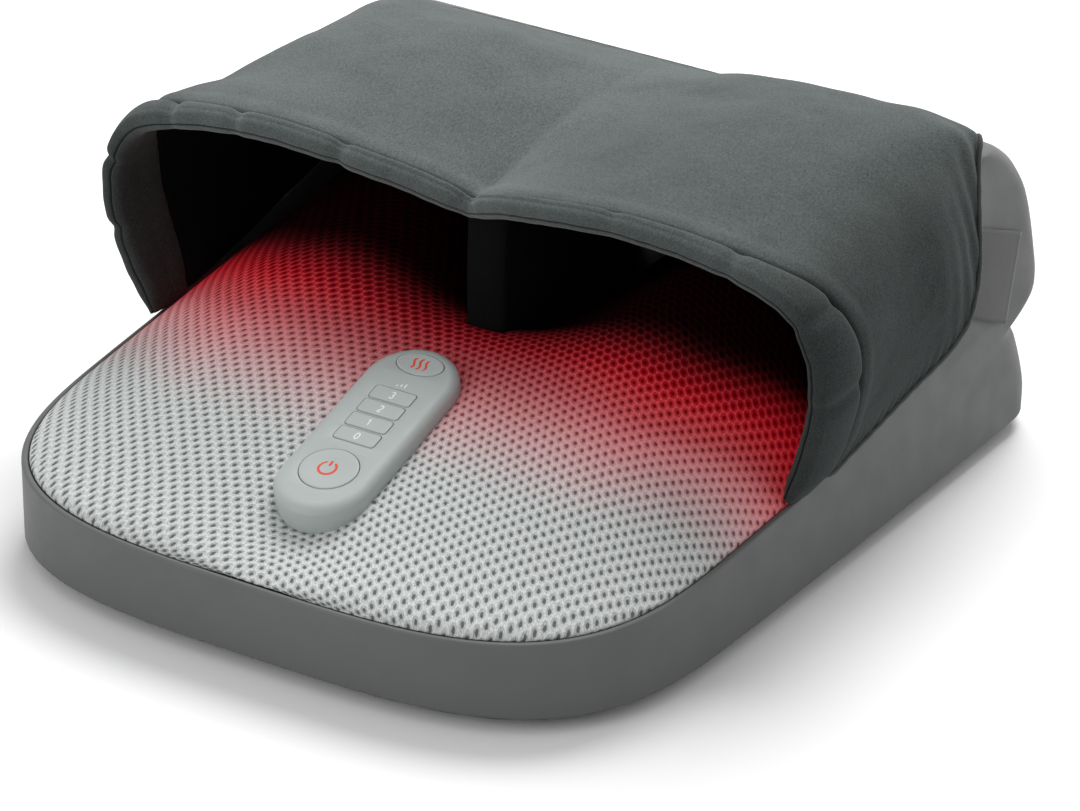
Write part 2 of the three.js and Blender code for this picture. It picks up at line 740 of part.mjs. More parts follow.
const flangeOutlines = [
  ellipse(powerSize, powerPlace, flange),
  ellipse(heatSize, heatPlace, flange),
  ...keyPlaces.map((place) => keyOutline(keySize, place, flange, 0)),
]
const boardTop = -panelWall - gap - flange - keyTravel - boardGap

const bevelDepth = 3.4
const bevelWidth = 5.4
const bevelShares = [[1, 0], [0.5, 0.13], [0.176, 0.444], [0, 1]]
const panelPostRadius = 1.8
const panelPostHalf = 16.6
const panelPostPlaces = [keyPlaces[0] - keyPitch / 5, keyPlaces[3] + keyPitch]
function makePanel() {
  const rings = bevelShares.map(([low, inward]) => (
    stadium(panelLength, panelWidth, bevelWidth * inward, -bevelDepth * low)))
  const outer = loft([stadium(panelLength, panelWidth, 0, -panelDepth), ...rings])
  const inner = loft([-panelDepth - over, -panelWall].map((z) => (
    stadium(panelLength, panelWidth, panelWall, z))))
  const holes = openings.map((outline) => prism(outline(gap), -panelDepth, over))
  const posts = panelPostPlaces.flatMap((y) => [-panelPostHalf, panelPostHalf].map((x) => (
    rod(x, y, boardTop + gap, -panelWall + gap, panelPostRadius, 8))))
  return join(cut(outer, inner, ...holes), ...posts)
}
piece('panel_case', onPanel(makePanel()), panelPlastic)

const keyNames = ['power_button', 'heat_button', 'level_key_0', 'level_key_1', 'level_key_2',
  'level_key_3']
for (const [i, name] of keyNames.entries()) {
  const stemPlace = i === 0 ? powerPlace : (i === 1 ? heatPlace : keyPlaces[i - 2])
  const flangeTop = -panelWall - gap
  const cap = prism(openings[i](0), flangeTop - flange, keyProud)
  const lip = prism(flangeOutlines[i], flangeTop - flange, flangeTop)
  const stem = rod(0, stemPlace, boardTop + keyTravel + gap, flangeTop - flange + gap, keyDepth, 8)
  piece(name, onPanel(join(cap, lip, stem)), panelPlastic)
}

const panelBoard = prism(stadium(panelLength, panelWidth, panelWall + gap)
  .map(({ x, y }) => new THREE.Vector2(x, y)), boardTop - boardThickness, boardTop)
piece('panel_board', onPanel(panelBoard), board)

function makeStand() {
  const length = panelLength * Math.cos(panelTilt)
  const column = (inset, low) => prism(stadium(length, panelWidth, inset)
    .map(({ x, y }) => new THREE.Vector2(x, y + panelPlace.y + panelDepth * Math.sin(panelTilt))),
  low, roofHeight)
  const above = onPanel(block(0, 0, -panelDepth - gap, 2 * panelWidth, 2 * panelLength,
    roofHeight))
  return cut(column(0, floorTop + gap), column(panelWall, 0), above)
}
piece('panel_stand', makeStand(), innerPlastic)

// Divider: a padded rib between the feet on a leg down to the plate.
const dividerTopShares = [0.06, 0.16, 0.3, 0.46, 0.6]
const dividerLow = 60 // underside of the rib behind its leg
const dividerRise = 4
const dividerNose = 125
function makeDivider() {
  const valley = (along) => hoodPoint(1, along, hoodThickness + 4 * gap)
  const top = dividerTopShares.map(valley).map(({ y, z }) => [y, z])
  const points = [[dividerFront, floorTop + gap], [dividerFront + dividerLeg, floorTop + gap],
    [dividerFront + dividerLeg, dividerLow], [dividerBack, dividerLow + dividerRise],
    ...top.reverse(), [dividerFront, dividerNose]]
  return prismAcross(points.map(([y, z]) => new THREE.Vector2(y, z)), -dividerHalf, dividerHalf)
}
piece('centre_divider', makeDivider(), darkCloth)

// Kneading trains: three gears in a row, each with a head of three knobs, and a worm on the front
// gear. Each train has its own tilted frame, with its origin in the middle gear.
const gearModule = 3
const teeth = 20
const pitchRadius = (gearModule * teeth) / 2
const addendum = 2.4
const dedendum = 3.1
const toothHalf = 2
const pressure = Math.tan(THREE.MathUtils.degToRad(20))
const gearHalf = 4
const axleRadius = 4
const hubRadius = 9
const hubTop = 21
const axleGap = 1
const floorLow = -9
const floorHigh = -6.5
const coverLow = 6
const coverHigh = 8.5
const headRadiusOuter = 27
const headPlate = 4
const headEdge = 1
const knobRadius = 9.5
const knobPlace = 16
const knobHeight = 13
const trainPlace = new THREE.Vector3(ridgePlace, 0.41194 * bedBack + 2 * pitchRadius,
  rimFront + 10.1)
const wormRadius = 8
const wormPitch = Math.PI * gearModule
const lead = Math.asin(wormPitch / (2 * Math.PI * wormRadius))
const boxHalf = 36
const boxReach = pitchRadius * 2 + boxHalf
const motorRadius = 13
const motorLength = 50
const shaftRadius = 2.5

// A train is built for the right foot; the left one is its mirror image.
function trainFrame(side) {
  return (solid) => (side < 0 ? solid.mirror([1, 0, 0]) : solid)
    .rotate([THREE.MathUtils.radToDeg(tilt), 0, 0])
    .translate([side * trainPlace.x, trainPlace.y, trainPlace.z])
}

function makeGear(index) {
  const points = []
  const turn = index === 0 ? 0 : 0.5
  for (let tooth = 0; tooth < teeth; tooth += 1) {
    const centre = (2 * Math.PI * (tooth + turn)) / teeth
    const flank = [[-1, -dedendum], [-1, addendum], [1, addendum], [1, -dedendum]]
    for (const [side, height] of flank) {
      const radius = pitchRadius + height
      const angle = centre + (side * (toothHalf - height * pressure)) / radius
      points.push(new THREE.Vector2(radius * Math.cos(angle), radius * Math.sin(angle)))
    }
  }
  const wheel = prism(points, -gearHalf, gearHalf)
  const hub = rod(0, 0, gearHalf - gap, hubTop, hubRadius, 14)
  return cut(join(wheel, hub), rod(0, 0, -gearHalf - over, hubTop + over, axleRadius + gap, 12))
    .translate([0, index * 2 * pitchRadius, 0])
}

function makeHead(index) {
  const low = hubTop + gap
  const plate = turned([[0, low], [headRadiusOuter - headEdge, low],
    [headRadiusOuter, low + headEdge], [headRadiusOuter - headEdge, low + headPlate],
    [0, low + headPlate]], 14)
  const knobs = []
  const dome = [[0, low + headPlate - headEdge]]
  const steps = 2
  for (let i = 0; i <= steps; i += 1) {
    const angle = (Math.PI / 2) * (i / steps)
    dome.push([knobRadius * Math.cos(angle), low + headPlate + knobHeight * Math.sin(angle)])
  }
  dome.splice(1, 0, [knobRadius, low + headPlate - headEdge])
  dome[dome.length - 1][0] = 0
  for (let i = 0; i < 3; i += 1) {
    const angle = (2 * Math.PI * i) / 3 + index
    knobs.push(turned(dome, 9).translate([knobPlace * Math.cos(angle),
      knobPlace * Math.sin(angle), 0]))
  }
  return join(plate, ...knobs).translate([0, index * 2 * pitchRadius, 0])
}

// The worm's own frame: along Y through its middle, beside the front gear, tilted by its lead.
const wormOut = pitchRadius + wormRadius
const wormHalf = 13
const bearingHalf = 4
const shaftFront = -wormHalf - 4 * bearingHalf
const shaftReach = 2 // how far the shaft runs past the motor's face
const motorBack = shaftFront + 2 * bearingHalf - shaftReach
const threadRoot = 1 // how far the thread sinks into the worm's core
const onWorm = (solid) => solid.rotate([THREE.MathUtils.radToDeg(lead), 0, 0])
  .translate([wormOut, -2 * pitchRadius, 0])

function makeWorm() {
  const turnsShown = 2
  const steps = 10 * turnsShown
  const axialPitch = wormPitch / Math.cos(lead)
  const profile = [[-addendum, -1], [-addendum, 1], [dedendum, 1], [dedendum, -1]]
  const rings = []
  for (let i = 0; i <= steps; i += 1) {
    const turn = (i / steps - 0.5) * turnsShown
    const angle = 2 * Math.PI * turn
    rings.push(profile.map(([depthIn, edge]) => {
      const radius = wormRadius - depthIn - (depthIn > 0 ? threadRoot : 0)
      const width = toothHalf + depthIn * pressure
      const along = axialPitch * turn + edge * width
      return new THREE.Vector3(-radius * Math.cos(angle), along, radius * Math.sin(angle))
    }))
  }
  const count = 4
  const faces = []
  for (let ring = 0; ring < rings.length - 1; ring += 1) {
    for (let i = 0; i < count; i += 1) {
      const next = (i + 1) % count
      const a = ring * count + i
      const b = ring * count + next
      faces.push(a, b + count, b, a, a + count, b + count)
    }
  }
  const end = (rings.length - 1) * count
  faces.push(0, 1, 2, 0, 2, 3, end, end + 2, end + 1, end, end + 3, end + 2)
  const geometry = new THREE.BufferGeometry()
  const positions = rings.flat().flatMap((point) => [point.x, point.y, point.z])
  geometry.setAttribute('position', new THREE.Float32BufferAttribute(positions, 3))
  geometry.setIndex(faces)
  const core = rodAlong(0, 0, -wormHalf, wormHalf, wormRadius - dedendum)
  const shaft = rodAlong(0, 0, shaftFront, wormHalf + 2 * bearingHalf, shaftRadius, 16)
  return onWorm(join(core, shaft, solidOf(geometry)))
}

// The room that the worm and the motor need beside the gears.
function driveRoom() {
  const high = hubTop - floorLow + 2 * over
  const wormIn = wormOut - wormRadius - addendum - gap
  const motorIn = wormOut - motorRadius - axleGap
  const frontGear = -2 * pitchRadius
  return join(
    block(wormIn + boxHalf / 2, frontGear, floorLow - over, boxHalf,
      2 * (wormHalf + 2 * bearingHalf), high),
    block(motorIn + boxHalf / 2, frontGear + motorBack - motorLength / 2, floorLow - over, boxHalf,
      motorLength + over, high))
}

// Gearbox: a floor with an axle under each gear, a wall round the train, legs down to the plate and
// a tilted shelf that carries the worm's bearings and the motor.
const boxWall = 2.2
const bearingWidth = 9
const webDrop = 3
const legRadius = 5
const legOut = 20
const legPlaces = [[-legOut, -2 * pitchRadius], [legOut, 2 * pitchRadius],
  [-legOut, 2 * pitchRadius], [legOut - wall, legOut / 2]]
function makeGearboxBase(side) {
  const plan = (inset) => stadium(2 * boxReach, 2 * boxHalf, inset).map(({ x, y }) => (
    new THREE.Vector2(x, y)))
  const floor = prism(plan(0), floorLow, floorHigh)
  const rim = cut(prism(plan(0), floorLow, coverLow - gap),
    prism(plan(boxWall), floorLow - over, coverLow + over))
  const axles = [-1, 0, 1].map((index) => (
    rod(0, index * 2 * pitchRadius, floorLow, hubTop - axleGap, axleRadius, 12)))
  const shelfHigh = -motorRadius - gap
  const shelf = block(0, (wormHalf + motorBack - motorLength) / 2, shelfHigh - boxWall,
    2 * bearingHalf + motorRadius, wormHalf - motorBack + motorLength + 4 * bearingHalf, boxWall)
  const bearings = [wormHalf + bearingHalf, -wormHalf - bearingHalf].map((y) => cut(
    block(0, y, shelfHigh - gap, bearingWidth, bearingHalf, -shelfHigh + 2 * bearingHalf),
    rodAlong(0, 0, y - over, y + over, shaftRadius + gap, 16)))
  const web = block(-bearingHalf - motorRadius / 2, wormHalf + bearingHalf, shelfHigh - boxWall,
    3 * bearingHalf, 4 * bearingHalf, floorHigh - shelfHigh + boxWall - webDrop)
  const carrier = onWorm(join(shelf, ...bearings, web))
  const frame = trainFrame(side)
  const body = join(cut(join(floor, rim), driveRoom()), ...axles, carrier)
  const legs = legPlaces.map(([x, y]) => (
    rod(x, y, -2 * trainPlace.z, floorLow + gap, legRadius, 8)))
  const legsTrimmed = cut(frame(join(...legs)), block(0, 0, -2 * depth, 4 * rearHalf, 4 * depth,
    2 * depth + floorTop + gap))
  return join(frame(body), legsTrimmed)
}

function makeGearboxCover() {
  const plan = (inset) => stadium(2 * boxReach, 2 * boxHalf, inset).map(({ x, y }) => (
    new THREE.Vector2(x, y)))
  const plate = prism(plan(0), coverLow, coverHigh)
  const holes = [-1, 0, 1].map((index) => (
    rod(0, index * 2 * pitchRadius, 0, hubTop, hubRadius + axleGap, 18)))
  return cut(plate, ...holes, driveRoom())
}

const heaterInset = 7
const heaterThickness = 1.2
function makeHeater() {
  const low = coverHigh + gap
  const outline = stadium(2 * (boxReach - heaterInset), 2 * (boxHalf - heaterInset))
  const plate = prism(outline.map(({ x, y }) => new THREE.Vector2(x, y)), low,
    low + heaterThickness)
  const holes = [-1, 0, 1].map((index) => (
    rod(0, index * 2 * pitchRadius, 0, hubTop, hubRadius + 2 * axleGap)))
  return cut(plate, ...holes, driveRoom())
}

const motorBore = 12
function makeMotor() {
  const can = rodAlong(0, 0, motorBack - motorLength, motorBack, motorRadius)
  const bore = rodAlong(0, 0, motorBack - motorBore, motorBack + over, shaftRadius + gap, 16)
  return onWorm(cut(can, bore))
}

for (const [name, side] of [['right', 1], ['left', -1]]) {
  const frame = trainFrame(side)
  piece(`gearbox_base_${name}`, makeGearboxBase(side), innerPlastic)
  piece(`gearbox_cover_${name}`, frame(makeGearboxCover()), innerPlastic)
  piece(`heater_${name}`, frame(makeHeater()), heaterFilm)
  piece(`motor_${name}`, frame(makeMotor()), steel)
  piece(`worm_${name}`, frame(makeWorm()), brass)
  for (const [place, index] of [['front', -1], ['middle', 0], ['rear', 1]]) {
    piece(`drive_gear_${name}_${place}`, frame(makeGear(index)), acetal)
    piece(`massage_head_${name}_${place}`, frame(makeHead(index)), acetal)
  }
  piece(`air_bag_${name}`, makeBag(side), airFilm)
}

// Air: a pump and a two-way valve behind the divider's leg, with a hose up to each bag.
const pumpHalf = 19
const pumpFront = 0.5163 * depth
const pumpLength = 52
const pumpHeight = 38
const nozzleRadius = 3
const hoseRadius = 2.6
const nozzleLength = 4
const pumpCorner = 3.8 // how much rounder the pump's corners are than a key's
const valveFront = pumpFront + pumpLength + nozzleLength
const valveLength = 18
const valveHalf = 12
const valveHeight = 22

function makePump() {
  const low = floorTop + gap
  const section = keyOutline([2 * pumpHalf, pumpHeight], 0, 0, pumpCorner)
  const body = prism(section, 0, pumpLength).rotate([90, 0, 0])
    .translate([0, pumpFront + pumpLength, low + pumpHeight / 2 + pumpCorner])
  const nozzle = rodAlong(0, low + valveHeight / 2, pumpFront + pumpLength - over,
    valveFront - gap, nozzleRadius, 12)
  return join(body, nozzle)
}
piece('air_pump', makePump(), innerPlastic)

function makeValve() {
  const low = floorTop + gap
  const body = block(0, valveFront + valveLength / 2, low, 2 * valveHalf, valveLength, valveHeight)
  const outlets = [1, -1].map((side) => rod(side * valveHalf / 2, valveFront + valveLength / 2,
    low + valveHeight - gap, low + valveHeight + over, nozzleRadius, 12))
  return join(body, ...outlets)
}
piece('air_valve', makeValve(), acetal)

// A hose from a valve outlet up behind the divider and under the rear end of a bag.
const hoseShares = [[0, 0.05], [0.6, 0.09], [1, 0.2], [1.05, 0.55]]
function makeHose(side) {
  const outlet = new THREE.Vector3(side * valveHalf / 2, valveFront + valveLength / 2,
    floorTop + gap + valveHeight + over + gap)
  const reach = dividerBack + 2 * hoseRadius - outlet.y
  const end = hoodPoint(bagHigh, bagTo, hoodThickness + bagThickness + bagGap + hoseRadius, side)
  const rise = end.z - outlet.z
  const points = [outlet, ...hoseShares.map(([back, up]) => (
    new THREE.Vector3(outlet.x, outlet.y + reach * back, outlet.z + rise * up))), end]
  return tube(points, hoseRadius, 20, 6)
}
for (const [name, side] of [['right', 1], ['left', -1]]) {
  piece(`air_hose_${name}`, makeHose(side), rubber)
}

// Circuit board with its chips on four posts, and the inlet for the power lead.
const chipThickness = 4
const chipShares = [[-0.25, 0.16, 0.22, 0.24], [0.21, 0.2, 0.28, 0.2], [0, -0.28, 0.4, 0.16]]
function makeMainBoard() {
  const [x, y] = boardPlace
  const [boardWidth, boardLength] = boardSize
  const plate = block(x, y, boardHeight, ...boardSize, boardThickness)
  const chips = chipShares.map(([right, back, wide, long]) => block(
    x + boardWidth * right, y + boardLength * back, boardHeight + boardThickness - gap,
    boardWidth * wide, boardLength * long, chipThickness))
  return join(plate, ...chips)
}
piece('main_board', makeMainBoard(), board)

const inletSink = 1 // how far the inlet lies in from the wall's face
const inletLength = 22
const socketDepth = 16
const socketRadius = 3.25
const pinRadius = 1
const pinLength = 13
function makeInlet() {
  const back = lowBack - inletSink
  const front = back - inletLength
  const body = rodAlong(inletPlace, inletHeight, front, back, inletRadius)
  const socket = rodAlong(inletPlace, inletHeight, back - socketDepth, back + over, socketRadius)
  const pinFront = back - socketDepth - pinRadius
  const pin = rodAlong(inletPlace, inletHeight, pinFront, pinFront + pinLength, pinRadius, 8)
  return join(cut(body, socket), pin)
}
piece('power_inlet', makeInlet(), steel)

group.children.forEach((child) => child.translateY(-depth / 2))

export default group
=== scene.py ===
"""Looks of the foot massager: housing, mesh foot bed, fabric hood, control panel and their finishes.

Sizes here are in millimetres, with Y counted from the front edge as in the CAD; placed() turns them
into metres in the row's frame.
"""

import math
from contextlib import contextmanager

import bmesh
import bpy
import numpy as np
from mathutils import Matrix, Vector
from mathutils.geometry import tessellate_polygon

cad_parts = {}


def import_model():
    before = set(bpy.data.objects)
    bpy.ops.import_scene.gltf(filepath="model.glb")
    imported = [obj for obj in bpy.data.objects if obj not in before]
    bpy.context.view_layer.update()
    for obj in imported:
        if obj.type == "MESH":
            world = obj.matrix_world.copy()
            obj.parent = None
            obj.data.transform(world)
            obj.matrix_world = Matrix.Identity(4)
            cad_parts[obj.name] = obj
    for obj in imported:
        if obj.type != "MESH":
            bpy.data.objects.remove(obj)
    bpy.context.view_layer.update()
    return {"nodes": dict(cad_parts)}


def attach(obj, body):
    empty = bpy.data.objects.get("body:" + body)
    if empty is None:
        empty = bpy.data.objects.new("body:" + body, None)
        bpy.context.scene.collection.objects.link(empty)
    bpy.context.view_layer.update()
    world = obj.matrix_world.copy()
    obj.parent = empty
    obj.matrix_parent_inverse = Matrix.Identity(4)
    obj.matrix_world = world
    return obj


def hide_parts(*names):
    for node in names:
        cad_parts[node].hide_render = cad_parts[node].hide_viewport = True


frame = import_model()
MM = 0.001

# Driving sizes, as in the CAD
FRONT_HALF, REAR_HALF = 180.5, 185.0
CORNER_LENGTH, SIDE_LENGTH = 143.018, 265.009
CORNER_POWER, SIDE_BOW = 3.43, 0.9
DEPTH = 430.0
REAR_CORNER, REAR_CORNER_LEAST = 28.0, 4.0
WALL, GAP = 3.0, 0.3
SEAM_HEIGHT = 8.0
RIM_FRONT, RIM_SLOPE = 45.5, 0.066
ROOF_HEIGHT, LEAN_FROM, SIDE_LEAN = 154.0, 72.0, 14.0
LEDGE = 4.0
BOSS_RADIUS, BOSS_OVERLAP = 5.0, 1.5
BOSS_PLACES = (62.006, 371.993)
BOSS_PROFILE = [(1.6, 8.3), (BOSS_RADIUS, 8.3), (BOSS_RADIUS, 34), (4.6, 34.4), (1.9, 34.4), (1.6, 34)]
PANEL_TILT = math.radians(15)
PANEL_PLACE = (0.0, 97.094, 84.0)
PANEL_LENGTH, PANEL_WIDTH, PANEL_DEPTH, PANEL_WALL = 121.0, 48.0, 24.0, 2.4
PANEL_REACH = (PANEL_LENGTH - PANEL_WIDTH) / 2
TIP_PLACE, SEAM_BACK = 184.04, 377.97
BED_DROP, BED_INSET, BED_BACK, BED_THICKNESS = 0.5, 3.4, 351.998, 4.0
RIDGE_PLACE, RIDGE_RISE, BED_ROLL, BED_PUFF = 87.0, 66.0, 14.0, 4.0
HOOD_THICKNESS, HOOD_EDGE, HOOD_BACK = 8.0, 1.6, 387.989
HEM_CREST, BACK_CREST, CROWN_END = 184.03, 192.007, 0.55
DIVIDER_HALF, DIVIDER_ROUND, DIVIDER_FRONT, DIVIDER_BACK = 11.0, 4.2, 196.983, 320.006
INLET = (-120.25, 30.0, 5.8)
BACK_SHARES = [(0.052, 0.977), (0.156, 0.977), (0.345, 0.951), (0.388, 0.935), (0.43, 0.972),
               (0.48, 0.997), (0.59, 1), (0.78, 0.989), (0.89, 0.965), (0.95, 0.942),
               (0.99, 0.915), (1, 0.893)]
SEAM_SHARES = [(0, 0), (0.18, 0.05), (0.36, 0.11), (0.56, 0.19), (0.66, 0.235), (0.75, 0.31),
               (0.785, 0.39), (0.83, 0.52), (0.876, 0.7), (0.922, 0.857), (0.96, 0.96), (1, 1)]
KEY_SIZE, KEY_PITCH, KEY_FIRST = (22.4, 8.8), 10.3, -7.4
KEY_CORNER, KEY_FLANGE, KEY_FACE = 1.6, 1.2, 0.3

# Sizes of the finish alone
MESH_PITCH, FOAM = 5.2, 3.6
BED_WAVE, PANEL_SINK, GLOW_LAG = 0.7, 2.2, 26
FOLD, CREASE, HEM_ROLL = 0.9, 2.0, 0.7
LEFT_DROP, RIGHT_RISE = 5.6, 9.0
LIP, INNER_LIP, LOWER_EDGE = 1.3, 0.9, 0.8
HEM_NOSE, HEM_DEPTH, HEM_MIDDLE = 8.8, 9.5, 3.9
HEM_SAMPLES = 14
NOSE_SEAM = math.radians(16)
NOSE_ANGLES = np.radians([-77, -62, -47, -32, -18, -6, 3, 9, 13, 16, 19, 23, 30, 42, 56, 70, 80])
HEM_KINKS = {
    -1.0: [(0.16, 0.7, 0.012), (0.3, 1.0, 0.012), (0.49, 1.2, 0.013), (0.61, 1.2, 0.012),
           (0.775, 1.3, 0.012), (1.0, 1.5, 0.022)],
    1.0: [(0.2, 0.8, 0.015), (0.36, 1.0, 0.014), (0.52, 0.9, 0.013), (0.71, 0.6, 0.012),
          (1.0, 1.5, 0.022)],
}
STITCH, STITCH_PITCH, STITCH_STEP = 3.0, 4.4, 0.5
PIPING_RADIUS, PIPING_STEP = 1.35, 1.6
TAG_THICKNESS = 0.7
TAG_CORNERS = np.array([(360.985, 124), (399.986, 107), (375.003, 69), (332.992, 90)], float)
DISHES = {"power_button": 0.55, "heat_button": 0.3}
PRINT, PRINT_SUNK, PRINT_OVER, PRINT_STEP = 0.12, 0.05, 0.02, 0.25
DIGITS = {
    3: [(0.12, 0.86), (0.35, 1.0), (0.68, 0.97), (0.85, 0.78), (0.7, 0.58), (0.42, 0.52),
        (0.72, 0.46), (0.9, 0.25), (0.7, 0.03), (0.35, 0.0), (0.08, 0.14)],
    2: [(0.12, 0.78), (0.28, 0.96), (0.6, 1.0), (0.85, 0.8), (0.78, 0.56), (0.1, 0.0), (0.9, 0.0)],
    1: [(0.22, 0.78), (0.55, 1.0), (0.55, 0.0)],
    0: [(0.5, 1.0), (0.84, 0.84), (0.92, 0.5), (0.84, 0.16), (0.5, 0.0), (0.16, 0.16), (0.08, 0.5),
        (0.16, 0.84), (0.5, 1.0)],
}


# Curves and surfaces
def smooth_table(pairs):
    """A smooth curve through pairs, read at any share."""
    xs = np.array([p[0] for p in pairs], float)
    ys = np.array([p[1] for p in pairs], float)

    def read(share):
        x = np.clip(share, xs[0], xs[-1])
        i = np.clip(np.searchsorted(xs, x, side="left") - 1, 0, len(xs) - 2)
        before, after = np.maximum(i - 1, 0), np.minimum(i + 2, len(xs) - 1)
        span = xs[i + 1] - xs[i]
        m0 = (ys[i + 1] - ys[before]) / np.maximum(xs[i + 1] - xs[before], 1e-9) * span
        m1 = (ys[after] - ys[i]) / np.maximum(xs[after] - xs[i], 1e-9) * span
        t = (x - xs[i]) / span
        return (ys[i] * (2 * t**3 - 3 * t**2 + 1) + m0 * (t**3 - 2 * t**2 + t)
                + ys[i + 1] * (3 * t**2 - 2 * t**3) + m1 * (t**3 - t**2))

    return read


def arch_curve(points):
    """A centripetal curve through points of the plane, read at any share of its count."""
    p = np.array(points, float)
    p = np.vstack([2 * p[0] - p[1], p, 2 * p[-1] - p[-2]])
    step = np.sqrt(np.linalg.norm(np.diff(p, axis=0), axis=1))

    def read(t):
        place = np.clip(np.asarray(t, float), 0, 1) * (len(p) - 3)
        i = np.minimum(place.astype(int), len(p) - 4)
        w = (place - i)[..., None]
        p0, p1, p2, p3 = p[i], p[i + 1], p[i + 2], p[i + 3]
        d0, d1, d2 = step[i][..., None], step[i + 1][..., None], step[i + 2][..., None]
        m1 = ((p1 - p0) / d0 - (p2 - p0) / (d0 + d1) + (p2 - p1) / d1) * d1
        m2 = ((p2 - p1) / d1 - (p3 - p1) / (d1 + d2) + (p3 - p2) / d2) * d1
        return (p1 + m1 * w + (3 * (p2 - p1) - 2 * m1 - m2) * w**2
                + (2 * (p1 - p2) + m1 + m2) * w**3)

    return read


def smoothstep(x, low=0.0, high=1.0):
    t = np.clip((np.asarray(x, float) - low) / (high - low), 0, 1)
    return t * t * (3 - 2 * t)


def half_width(y, inset=0.0):
    """Half the housing's width at a depth, with the rounded front corners and the sides' flare."""
    y = np.asarray(y, float)
    flare = (1 + SIDE_BOW) * (REAR_HALF - FRONT_HALF) / SIDE_LENGTH
    reach = np.clip((CORNER_LENGTH - y) / (CORNER_LENGTH - inset), 0, 1)
    front = ((FRONT_HALF - inset) * (1 - reach**CORNER_POWER) ** (1 / CORNER_POWER)
             * (1 - flare * np.maximum(CORNER_LENGTH - y, 0) / FRONT_HALF))
    s = (y - CORNER_LENGTH) / SIDE_LENGTH
    side = FRONT_HALF - inset + (REAR_HALF - FRONT_HALF) * (s + SIDE_BOW * s * (1 - s))
    return np.where(y < CORNER_LENGTH, front, side)


def rim_height(y):
    return RIM_FRONT + RIM_SLOPE * np.asarray(y, float)


def lean(z):
    """How far the housing's side leans in at a height."""
    return SIDE_LEAN * np.maximum(0, (np.asarray(z, float) - LEAN_FROM) / (ROOF_HEIGHT - LEAN_FROM))


TIP_HEIGHT = float(rim_height(TIP_PLACE))
SEAM_Y = np.array([TIP_PLACE + (SEAM_BACK - TIP_PLACE) * a for a, _ in SEAM_SHARES])
SEAM_Z = np.array([TIP_HEIGHT + (ROOF_HEIGHT - TIP_HEIGHT) * u for _, u in SEAM_SHARES])
seam_curve = smooth_table(list(zip(SEAM_Y, SEAM_Z)))
back_reach = smooth_table(BACK_SHARES)


def side_top(y):
    """Top of the housing seen from the side: rim, then the hood's seam, then the roof."""
    y = np.asarray(y, float)
    return np.where(y < TIP_PLACE, rim_height(y),
                    np.where(y < SEAM_BACK, np.minimum(seam_curve(y), ROOF_HEIGHT), ROOF_HEIGHT))


def plan_outline(inset, back):
    """The plan of the housing from the middle of the front, round the right side, to the back."""
    front, side, corner, rear = 44, 54, 12, 34
    angle = np.linspace(0, math.pi / 2, front)
    y = CORNER_LENGTH - (CORNER_LENGTH - inset) * np.cos(angle) ** (2 / CORNER_POWER)
    points = [np.column_stack([half_width(y, inset), y])]
    points[0][0, 0] = 0
    radius = max(REAR_CORNER - inset, REAR_CORNER_LEAST)
    start = back - radius
    y = CORNER_LENGTH + (start - CORNER_LENGTH) * np.linspace(0, 1, side + 1)[1:]
    points.append(np.column_stack([half_width(y, inset), y]))
    edge = float(half_width(start, inset)) - radius
    angle = np.linspace(0, math.pi / 2, corner + 1)[1:]
    points.append(np.column_stack([edge + radius * np.cos(angle), start + radius * np.sin(angle)]))
    x = edge * np.linspace(1, 0, rear + 1)[1:]
    points.append(np.column_stack([x, np.full(rear, back)]))
    right = np.vstack(points)
    left = right[-2:0:-1] * (-1, 1)
    return np.vstack([right, left])


ridge_rise = smooth_table([(0, 0), (0.14, 0.22), (0.28, 0.47), (0.44, 0.72), (0.57, 0.86),
                           (0.7, 0.95), (0.84, 1), (1, 0.98)])
valley_rise = smooth_table([(0, 0), (0.1, 0.083), (0.17, 0.235), (0.277, 0.42), (0.37, 0.56),
                            (0.45, 0.66), (0.53, 0.69), (0.58, 0.64), (0.66, 0.48), (0.83, 0.36),
                            (1, 0.33)])


def bed_height(x, y):
    """The foot bed's top: a ridge for each foot, a valley between and a roll all round."""
    half = half_width(y, BED_INSET)
    edge = rim_height(y) - BED_DROP
    ridge = RIM_FRONT + BED_PUFF + RIDGE_RISE * ridge_rise(y / BED_BACK)
    valley = RIM_FRONT + BED_PUFF - 2 * BED_DROP + RIDGE_RISE * valley_rise(y / BED_BACK)
    turn = np.minimum(RIDGE_PLACE, half / 2)
    across = np.abs(x)
    inner = valley + (ridge - valley) * (1 - np.cos(math.pi * across / np.maximum(turn, 1e-6))) / 2
    fall = np.clip((across - turn) / np.maximum(half - turn, 1e-6), 0, 1)
    outer = edge + BED_PUFF + (ridge - edge - BED_PUFF) * np.cos(math.pi / 2 * fall)
    level = np.where(across < turn, inner, outer)

    def roll(distance):
        reach = 1 - np.clip(distance / BED_ROLL, 0, 1)
        return np.sqrt(np.maximum(1 - reach * reach, 0))

    return edge + (level - edge) * roll(half - across) * roll(y - BED_INSET)


